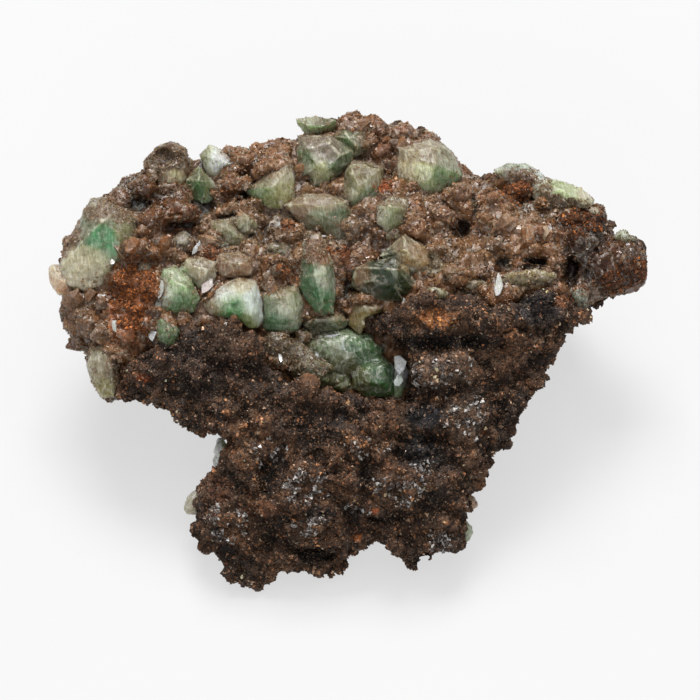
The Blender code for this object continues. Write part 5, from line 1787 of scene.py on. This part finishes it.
@dataclass
class GreenCrystals:
    """The adamite crystals, each refined from its own solid.

    Attributes:
        bevel: how far an edge is worn round.
        edge: the usual length of a face's edges.
        voxel: the size of the faces of a smoothed crystal.
        sink: how far a crystal's lower end is sunk into the crust.
        flare: how much wider its foot is than its top.
        squat: its height over that of its solid.
        spread: how far a spot of colour spreads.
        lift: how light the crystals are over their spots.
        warmth: what the darker linear colours are multiplied by.
        skirt: how high brown soil climbs up a foot.
        glow: painted light: how much darker upper faces are painted, and how much lighter lower ones, for
            light coming through from above.
        sharp: the angle from which an edge is sharp, in radians.
        flat: the angle up to which two triangles are one face, in radians.
        dust, edge_highlight, specks, soil: the colours of dust on upper faces, the painted highlight on
            edges, specks and feet.
    """

    bevel: float = 0.1
    edge: float = 0.22
    voxel: float = 0.2
    sink: float = 0.9
    flare: float = 0.3
    squat: float = 0.7
    spread: float = 0.55
    lift: float = 1.06
    warmth: Triple = (1.04, 0.98, 0.84)
    skirt: float = 0.75
    glow: float = 0.3
    sharp: float = math.radians(34.0)
    flat: float = math.radians(4.0)
    dust: Colour = (122, 102, 80)
    edge_highlight: Colour = (206, 200, 172)
    specks: Colour = (108, 82, 58)
    soil: Colour = (134, 104, 70)

    def build(self) -> list[Piece]:
        """Builds and dresses every crystal.

        Returns:
            The crystals' objects.
        """
        milky = CrystalFinish("adamite_milky", clear=0.15, glow=0.8, depth_mm=2.6, gloss=0.22,
                              frost=0.52, shine=0.3).material()
        wet = CrystalFinish("adamite_clear", clear=0.3, glow=0.6, depth_mm=1.8, gloss=0.14, frost=0.4,
                            veils=0.75).material()
        self.crust = Ground(*meshes_of("druse_crust"))
        made = []
        for seed, look in enumerate(CRYSTAL_LOOKS):
            crystal = copied_node(look.grown, look.node)
            self._root(crystal.data)
            if look.soft:
                fused(crystal, self.voxel, look.soft)
            else:
                self._refine(crystal.data)
            shade(crystal.data)
            self._weather(crystal.data, look, float(seed))
            finish = wet if look.clean and look.soft else milky
            paint(crystal.data, self._colours(crystal.data, look, float(seed)), finish)
            attach(crystal, look.node)
            made.append(crystal)
        return made

    def _root(self, mesh: Mesh) -> None:
        """Widens a crystal towards its foot and sinks its lower end into the crust.

        Args:
            mesh: the crystal's mesh.
        """
        uvw, normals = FACE.to_face(mesh_points(mesh)), mesh_normals(mesh)
        top, foot = uvw[:, 2].max(), uvw[:, 2].min()
        depth = (top - uvw[:, 2]) / (top - foot)
        uvw[:, :2] += (uvw[:, :2] - uvw[:, :2].mean(axis=0)) * (self.flare * depth)[:, None]
        uvw[:, 2] = foot + (uvw[:, 2] - foot) * self.squat
        uvw[normals @ OUT < -0.25, 2] -= self.sink
        set_points(mesh, FACE.to_space(uvw))

    def _refine(self, mesh: Mesh) -> None:
        """Joins flat triangles into faces, rounds the edges between them and splits them all small.

        Args:
            mesh: the crystal's mesh.
        """
        with reshaping(mesh) as shell:
            bmesh.ops.dissolve_limit(shell, angle_limit=self.flat, verts=shell.verts, edges=shell.edges)
            edge_highlight = shell.faces.layers.int.new("edge_highlight")
            sharp = [line for line in shell.edges
                     if len(line.link_faces) == 2 and line.calc_face_angle(0.0) > 0.3
                     and all(face.normal.dot(Vector(OUT)) > -0.3 for face in line.link_faces)]
            for face in rounded(shell, sharp, self.bevel * MM):
                face[edge_highlight] = 1
        with reshaping(mesh) as shell:
            refined(shell, self.edge)
        mesh.validate()

    def _weather(self, mesh: Mesh, look: CrystalLook, seed: float) -> None:
        """Bends the faces a little, adds fine growth steps and presses its hollows in.

        Args:
            mesh: the crystal's mesh.
            look: how it looks.
            seed: shifts the noise.
        """
        points = mesh_points(mesh)
        size = points / MM
        height = 0.08 * noise_at(size, 1.3, seed)
        height += 0.1 * np.round(noise_at(size * (1.0, 1.0, 2.2), 0.9, seed + 30.0, 2) * 3.0) / 3.0
        points = raised(points, mesh_normals(mesh), height)
        if look.pits:
            points = raised(points, OUT, -sunk(look.pits, FACE.to_face(points)))
        set_points(mesh, points)
        if not look.soft:
            mesh.set_sharp_from_angle(angle=self.sharp)

    def _colours(self, mesh: Mesh, look: CrystalLook, seed: float) -> Array:
        """The crystal's colours: its spots, painted light on its faces, darker specks and pale edges
        painted as highlight.

        Args:
            mesh: the crystal's mesh.
            look: how it looks.
            seed: shifts the noise.

        Returns:
            One linear colour for each vertex.
        """
        points = mesh_points(mesh)
        uvw = FACE.to_face(points)
        shaken = uvw[:, :2] + 0.2 * np.stack(
            [noise_at(uvw, 0.8, seed + shift, 2) for shift in (50.0, 60.0)], axis=1)
        colour = linear(blended(shaken, look.spots, self.spread)) * self.lift * look.level
        white = unit((colour.mean(axis=1) - 0.45) / 0.3)[:, None]
        colour *= white + (1.0 - white) * np.array(self.warmth)
        # Painted light: upper faces darker and lower faces lighter, as light comes through the crystal from
        # above.
        slope = mesh_normals(mesh) @ UP
        colour *= (1.0 - self.glow * slope)[:, None]
        frosted = noise_at(uvw, 1.1, seed + 20.0) * 0.9 + noise_at(uvw, 0.22, seed + 25.0, 2) * 0.8
        dusty = look.dusty * unit(0.1 + 0.95 * unit(slope * 1.6) + 0.8 * frosted)
        colour = mixed(colour, linear(self.dust), dusty)
        if not look.soft:
            # Painted highlight: the rounded edges are painted paler.
            pale = edge_highlight_vertices(mesh) * np.clip(0.1 + noise_at(uvw, 0.9, seed + 90.0, 2), 0.0, 0.4)
            colour = mixed(colour, linear(self.edge_highlight), pale)
        specks = np.clip(noise_at(uvw, 0.3, seed + 70.0, 2) * 2.0 - 0.75, 0.0, 0.5)
        colour = mixed(colour, linear(self.specks), specks)
        foot = falling(self.crust.distance(points), self.skirt)
        foot *= np.clip(0.7 + 0.9 * slope, 0.45, 1.0) * unit(0.75 + noise_at(uvw, 0.7, seed + 15.0))
        colour = mixed(colour, linear(self.soil), (0.4 if look.clean else 0.85) * foot)
        for patch in CRUSTED_PATCHES:
            colour = mixed(colour, linear(patch.colour), patch.weight(uvw, frosted))
        return np.minimum(colour, 0.95)


@dataclass(frozen=True)
class Dusting:
    """Brown sugar that creeps up the crystals' feet and lies on their upper faces."""

    grains: Scatter = Scatter(Form.SPLINTER, 15500, (0.1, 0.3), sink=0.0, skew=1.8)
    reach: float = 0.65

    def build(self) -> list[Piece]:
        """Builds and dresses it.

        Returns:
            The joined mesh.
        """
        looks = [look for look in CRYSTAL_LOOKS if not look.clean]
        meshes = meshes_of(*(look.grown for look in looks), "small_adamite_crystals")
        surface = Surface(*meshes)
        share = np.repeat([0.3 + look.dusty for look in looks] + [1.0],
                          [len(mesh.loop_triangles) for mesh in meshes])
        near = falling(Ground(*meshes_of("druse_crust")).distance(surface.middles), self.reach)
        clumps = unit(noise_at(surface.uvw, 1.3, 80.0, 2) * 3.0 + 0.5)
        rising = surface.normals @ UP
        weight = near * (0.3 + clumps) * np.clip(0.75 + rising, 0.35, 1.0)
        weight += 0.16 * clumps * unit(rising)
        weight *= share
        weight += 2.2 * covered(CRUSTED_PATCHES, surface.uvw, clumps - 0.5)
        crust = DruseCrust()
        patches = RUST_PATCHES + CRUSTED_PATCHES
        dressing = replace(crust.palette, light=crust.halo, patches=patches, size=2.6)
        dust = self.grains.strewn(
            "druse_on_crystals", surface, weight * (surface.facing > -0.15),
            lambda spots: 0.5 * dressing.colours(spots, 2.0) + 0.5 * linear(crust.halo),
            crust.sugar_mix, bpy.data.materials["druse_sugar"], np.random.default_rng(57))
        attach(dust, "brown_druse_crust")
        return [dust]


GREEN_SPROUTS = [Sprout(*row) for row in (
    ((-6.9, 9.9), (3.4, 2.2), 0.7, -10, (134, 118, 92), (124, 128, 96)),
    ((6.9, 8.4), (3.8, 2.2), 0.7, 8, (138, 124, 96), (116, 122, 88)),
    ((4.4, 11.6), (2.6, 2), 0.7, 30, (144, 122, 96), (130, 128, 96)),
    ((6, 6.4), (2.6, 2), 0.6, 0, (132, 122, 92), (104, 118, 82)),
    ((-18.4, 1.9), (2.2, 3.2), 0.8, 20, (120, 140, 100), (88, 116, 72)),
    ((-10.6, 12.6), (3, 2), 0.7, -25, (144, 132, 106), (126, 124, 94)),
    ((-4, 10), (1.8, 2.6), 0.8, 0, (142, 138, 116), (118, 130, 102)),
    ((-16.6, 18.4), (1.8, 2.2), 0.7, 10, (144, 128, 96), (126, 110, 76)),
    ((22.9, 5.3), (1.8, 2.6), 0.6, 10, (112, 116, 100), (96, 96, 78)),
    ((27.7, 11.2), (2.4, 1.7), 0.7, -20, (148, 154, 134), (112, 96, 72)),
    ((20.6, 14.4), (2.4, 2.8), 0.8, -15, (122, 112, 74), (110, 92, 60)),
    ((24.6, 13.8), (2.4, 1.2), 0.6, -25, (206, 190, 160), (150, 126, 92)),
    ((17.6, 7.2), (5.6, 1.8), 0.5, 6, (142, 126, 88), (122, 104, 70)),
    ((3, 0.1), (1.8, 1.6), 0.6, 0, (120, 150, 112), (84, 120, 80)),
    ((-7.2, 0.6), (3.4, 3), 0.9, -30, (104, 88, 68), (84, 68, 48)),
    ((-5.6, -0.8), (4.4, 3.6), 1.2, -30, (116, 104, 82), (90, 78, 52)),
    ((-3.8, -2.2), (4.8, 3.4), 1.4, -25, (104, 104, 74), (84, 80, 46)),
    ((-1.2, -3.2), (4.8, 2.8), 1.4, -12, (104, 110, 70), (90, 92, 50)),
    ((-3.8, 1.6), (2.8, 2.2), 0.8, 10, (84, 84, 62), (62, 62, 40)),
    ((8.6, 5.6), (2.6, 1.4), 0.5, 0, (124, 114, 86), (104, 90, 62)),
    ((-12.6, 10.6), (3, 1.6), 0.6, -40, (130, 124, 100), (116, 112, 86)),
    ((12.4, 6.4), (3, 1.5), 0.5, 10, (138, 120, 88), (112, 94, 64)),
    ((-16.9, 10.8), (2.6, 2), 0.8, 25, (140, 132, 118), (118, 104, 88)),
    ((-4.4, 8.6), (1.8, 1.8), 0.7, 0, (142, 124, 104), (118, 98, 76)),
    ((-20.6, 8), (1.8, 1.8), 0.7, 0, (150, 138, 116), (124, 102, 78)))]
MARGIN_SPROUTS = [Sprout(*row) for row in (
    ((-12.9, -10.6), (1.8, 3.4), 1.2, 8, (238, 240, 238), (204, 208, 206), -4),
    ((-15.3, -15.1), (2.2, 3.2), 1.2, -35, (208, 202, 186), (172, 160, 138), -4.2),
    ((12, -15.3), (1.7, 1.6), 0.9, 0, (184, 152, 134), (150, 116, 98), -3.8),
    ((11.5, -18.4), (1.6, 3), 1, -20, (182, 190, 168), (150, 160, 136), -4.4))]


@dataclass(frozen=True)
class Flake:
    """A thin pale cleavage flake.

    Attributes:
        at: its middle (u, v).
        size: its width and height.
        turn: how far it is turned, in degrees.
        colour: its display colour.
        out: how far above the surface its middle lies.
    """

    at: Pair
    size: Pair
    turn: float
    colour: Colour
    out: float = 0.25


FLAKES = [Flake(*row) for row in (
    ((-14.2, 6.6), (1.3, 1.9), -25, (228, 210, 200)), ((-15.3, 10.3), (0.7, 1.5), -28, (206, 210, 208)),
    ((14.8, 6.4), (0.9, 2.3), -8, (238, 238, 228), 0.5), ((5.4, 4.7), (0.6, 1.3), -10, (226, 224, 216)),
    ((-23.4, 2.4), (1.1, 1.4), 20, (214, 214, 200)), ((-18.9, 6), (0.7, 1.8), -12, (220, 224, 210), 0.2),
    ((-19.2, 4.6), (0.7, 0.7), 10, (216, 220, 208), 0.2),
    ((-19.8, 1.6), (1, 1.2), 15, (230, 234, 228), 0.4),
    ((-2.9, 11.5), (1.3, 0.25), -8, (244, 244, 234), 0.12),
    ((-1.9, 1.4), (1.8, 0.35), 14, (232, 240, 232), 0.12),
    ((-3.3, -0.4), (0.5, 1.2), -10, (222, 228, 220), 0.15),
    # The two flakes at (4.9, -1.4) and (4.8, -3) are partly painted reflection of the glassy corner's
    # flashing face.
    ((-0.7, 0.4), (0.4, 0.9), 8, (206, 230, 208), 0.1), ((4.9, -1.4), (1.5, 2), 12, (248, 255, 252), 1.2),
    ((4.8, -3), (0.9, 1.4), -16, (230, 248, 236), 0.9), ((-23.8, 8.9), (0.6, 0.7), 0, (236, 232, 220)),
    ((-4.6, -0.5), (0.9, 2), -18, (206, 208, 204), 0.3),
    ((-6.8, 0.9), (0.6, 0.8), 30, (190, 188, 182), 0.3),
    ((-7, -0.6), (0.5, 1.2), 10, (196, 190, 182), 0.3), ((20, 12.2), (0.6, 0.6), 0, (220, 204, 196)),
    ((14.9, 13.6), (0.9, 0.9), 20, (214, 176, 156), 0.5),
    ((15.3, 12), (0.8, 1.3), 0, (206, 166, 146), 0.5), ((-12.4, 2.6), (0.5, 0.5), 0, (204, 190, 176)))]
FLAKE_OUTLINE = ((-0.42, -0.2), (-0.14, -0.55), (0.3, -0.4), (0.52, 0.05), (0.16, 0.38), (-0.2, 0.55))


@dataclass(frozen=True)
class SmallCrystals:
    """The smaller green crystals and the pale flakes between the large crystals."""

    thickness: float = 0.16

    def build(self) -> list[Piece]:
        """Builds and dresses them.

        Returns:
            The joined meshes.
        """
        base = meshes_of("limonite_rock", "druse_crust")
        ground = Ground(*base)
        rng = np.random.default_rng(71)
        milky, clear = (bpy.data.materials[name] for name in ("adamite_milky", "adamite_clear"))
        small = sprouted("small_adamite_crystals", GREEN_SPROUTS, ground, milky, rng)
        grown = meshes_of(*(look.grown for look in CRYSTAL_LOOKS))
        flakes = self._flakes(Ground(*base, *grown), clear, rng)
        margin = sprouted("margin_crystals", MARGIN_SPROUTS, ground, milky, rng)
        for piece, node in ((small, "brown_druse_crust"), (flakes, "brown_druse_crust"),
                            (margin, "limonite_matrix")):
            attach(piece, node)
        return [small, flakes, margin]

    def _flakes(self, ground: Ground, material: Material, rng: Chance) -> Piece:
        """The thin pale flakes.

        Args:
            ground: what they lie on.
            material: their finish.
            rng: the source of chance.

        Returns:
            The joined mesh.
        """
        batch = SolidBatch(bevel=0.03)
        for flake in FLAKES:
            level = ground.height(flake.at) + flake.out
            lean_u, lean_v = rng.uniform(-0.5, 0.5, 2) - (0.0, 0.5)
            rows = []
            for a, b in FLAKE_OUTLINE:
                u = a * flake.size[0] * rng.uniform(0.75, 1.15)
                v = b * flake.size[1] * rng.uniform(0.75, 1.15)
                place = turned(flake.at, u, v, flake.turn)
                top = level + lean_u * u + lean_v * v
                rows += [(*place, top), (*place, top - self.thickness - flake.out)]
            batch.add(np.array(rows))
        piece = batch.finish("pale_flakes", 0.06)
        paint(piece.data, linear([flake.colour for flake in FLAKES])[batch.marks], material)
        return piece


@dataclass(frozen=True)
class Lamp:
    """One soft rectangular light.

    Attributes:
        name: its name.
        at: where it is, in metres.
        size: its width and height in metres.
        power: its power in watts.
    """

    name: str
    at: Triple
    size: Pair
    power: float

    def build(self) -> None:
        """Makes the lamp and turns it to the specimen."""
        data = bpy.data.lights.new(self.name, "AREA")
        data.shape = "RECTANGLE"
        data.size, data.size_y = self.size
        data.energy = self.power
        lamp = new_piece(self.name, data)
        lamp.location = self.at
        aim = Vector((0.0, 0.0, 0.01)) - Vector(self.at)
        lamp.rotation_euler = aim.to_track_quat("-Z", "Y").to_euler()


@dataclass(frozen=True)
class Studio:
    """The pale ground, the soft lights and the camera, with all but its sensor in metres."""

    ground_size: float = 6.0
    distance: float = 0.9
    view_width: float = 0.07
    sensor: float = 36.0
    sky: float = 0.4
    lamps: tuple[Lamp, ...] = (
        Lamp("key", (-0.04, 0.48, 0.86), (0.45, 0.4), 12.5),
        Lamp("overhead", (0.1, 0.1, 1.2), (1.0, 1.0), 5.5),
        Lamp("front_fill", (-0.3, -0.95, 0.55), (0.9, 0.5), 2.5))

    def build(self) -> None:
        """Builds everything that isn't part of the specimen."""
        half = self.ground_size / 2.0
        mesh = bpy.data.meshes.new("ground")
        corners = [(side * half, way * half, 0.0) for side, way in ((-1, -1), (1, -1), (1, 1), (-1, 1))]
        mesh.from_pydata(corners, [], [(0, 1, 2, 3)])
        ground = new_piece("ground", mesh)
        mesh.materials.append(PaperFinish().material())
        for lamp in self.lamps:
            lamp.build()
        world = bpy.data.worlds.new("soft_sky")
        world.use_nodes = True
        sky = world.node_tree.nodes["Background"].inputs
        sky["Color"].default_value = grey(1.0)
        sky["Strength"].default_value = self.sky
        bpy.context.scene.world = world
        bpy.context.scene.view_settings.view_transform = "Standard"
        self._camera()

    def _camera(self) -> None:
        """A long lens looking square onto the drawing plane."""
        data = bpy.data.cameras.new("camera")
        data.sensor_width = self.sensor
        data.lens = self.sensor * self.distance / self.view_width
        data.clip_start, data.clip_end = 0.05, 20.0
        camera = new_piece("camera", data)
        camera.location = FACE.to_space(np.array([0.0, 0.0, self.distance / MM]))
        camera.rotation_euler = (math.pi / 2.0 - FACE.tilt, 0.0, 0.0)
        bpy.context.scene.camera = camera


def main() -> None:
    """Builds the specimen and its setting, and reports each piece."""
    logging.basicConfig(level=logging.INFO, format="%(name)s: %(message)s")
    Studio().build()
    for maker in (LimoniteRock(), DruseCrust(), GreenCrystals(), SmallCrystals(), Dusting()):
        for piece in maker.build():
            LOG.info("%s: %d faces", piece.name, len(piece.data.polygons))


if __name__ == "__main__":
    main()
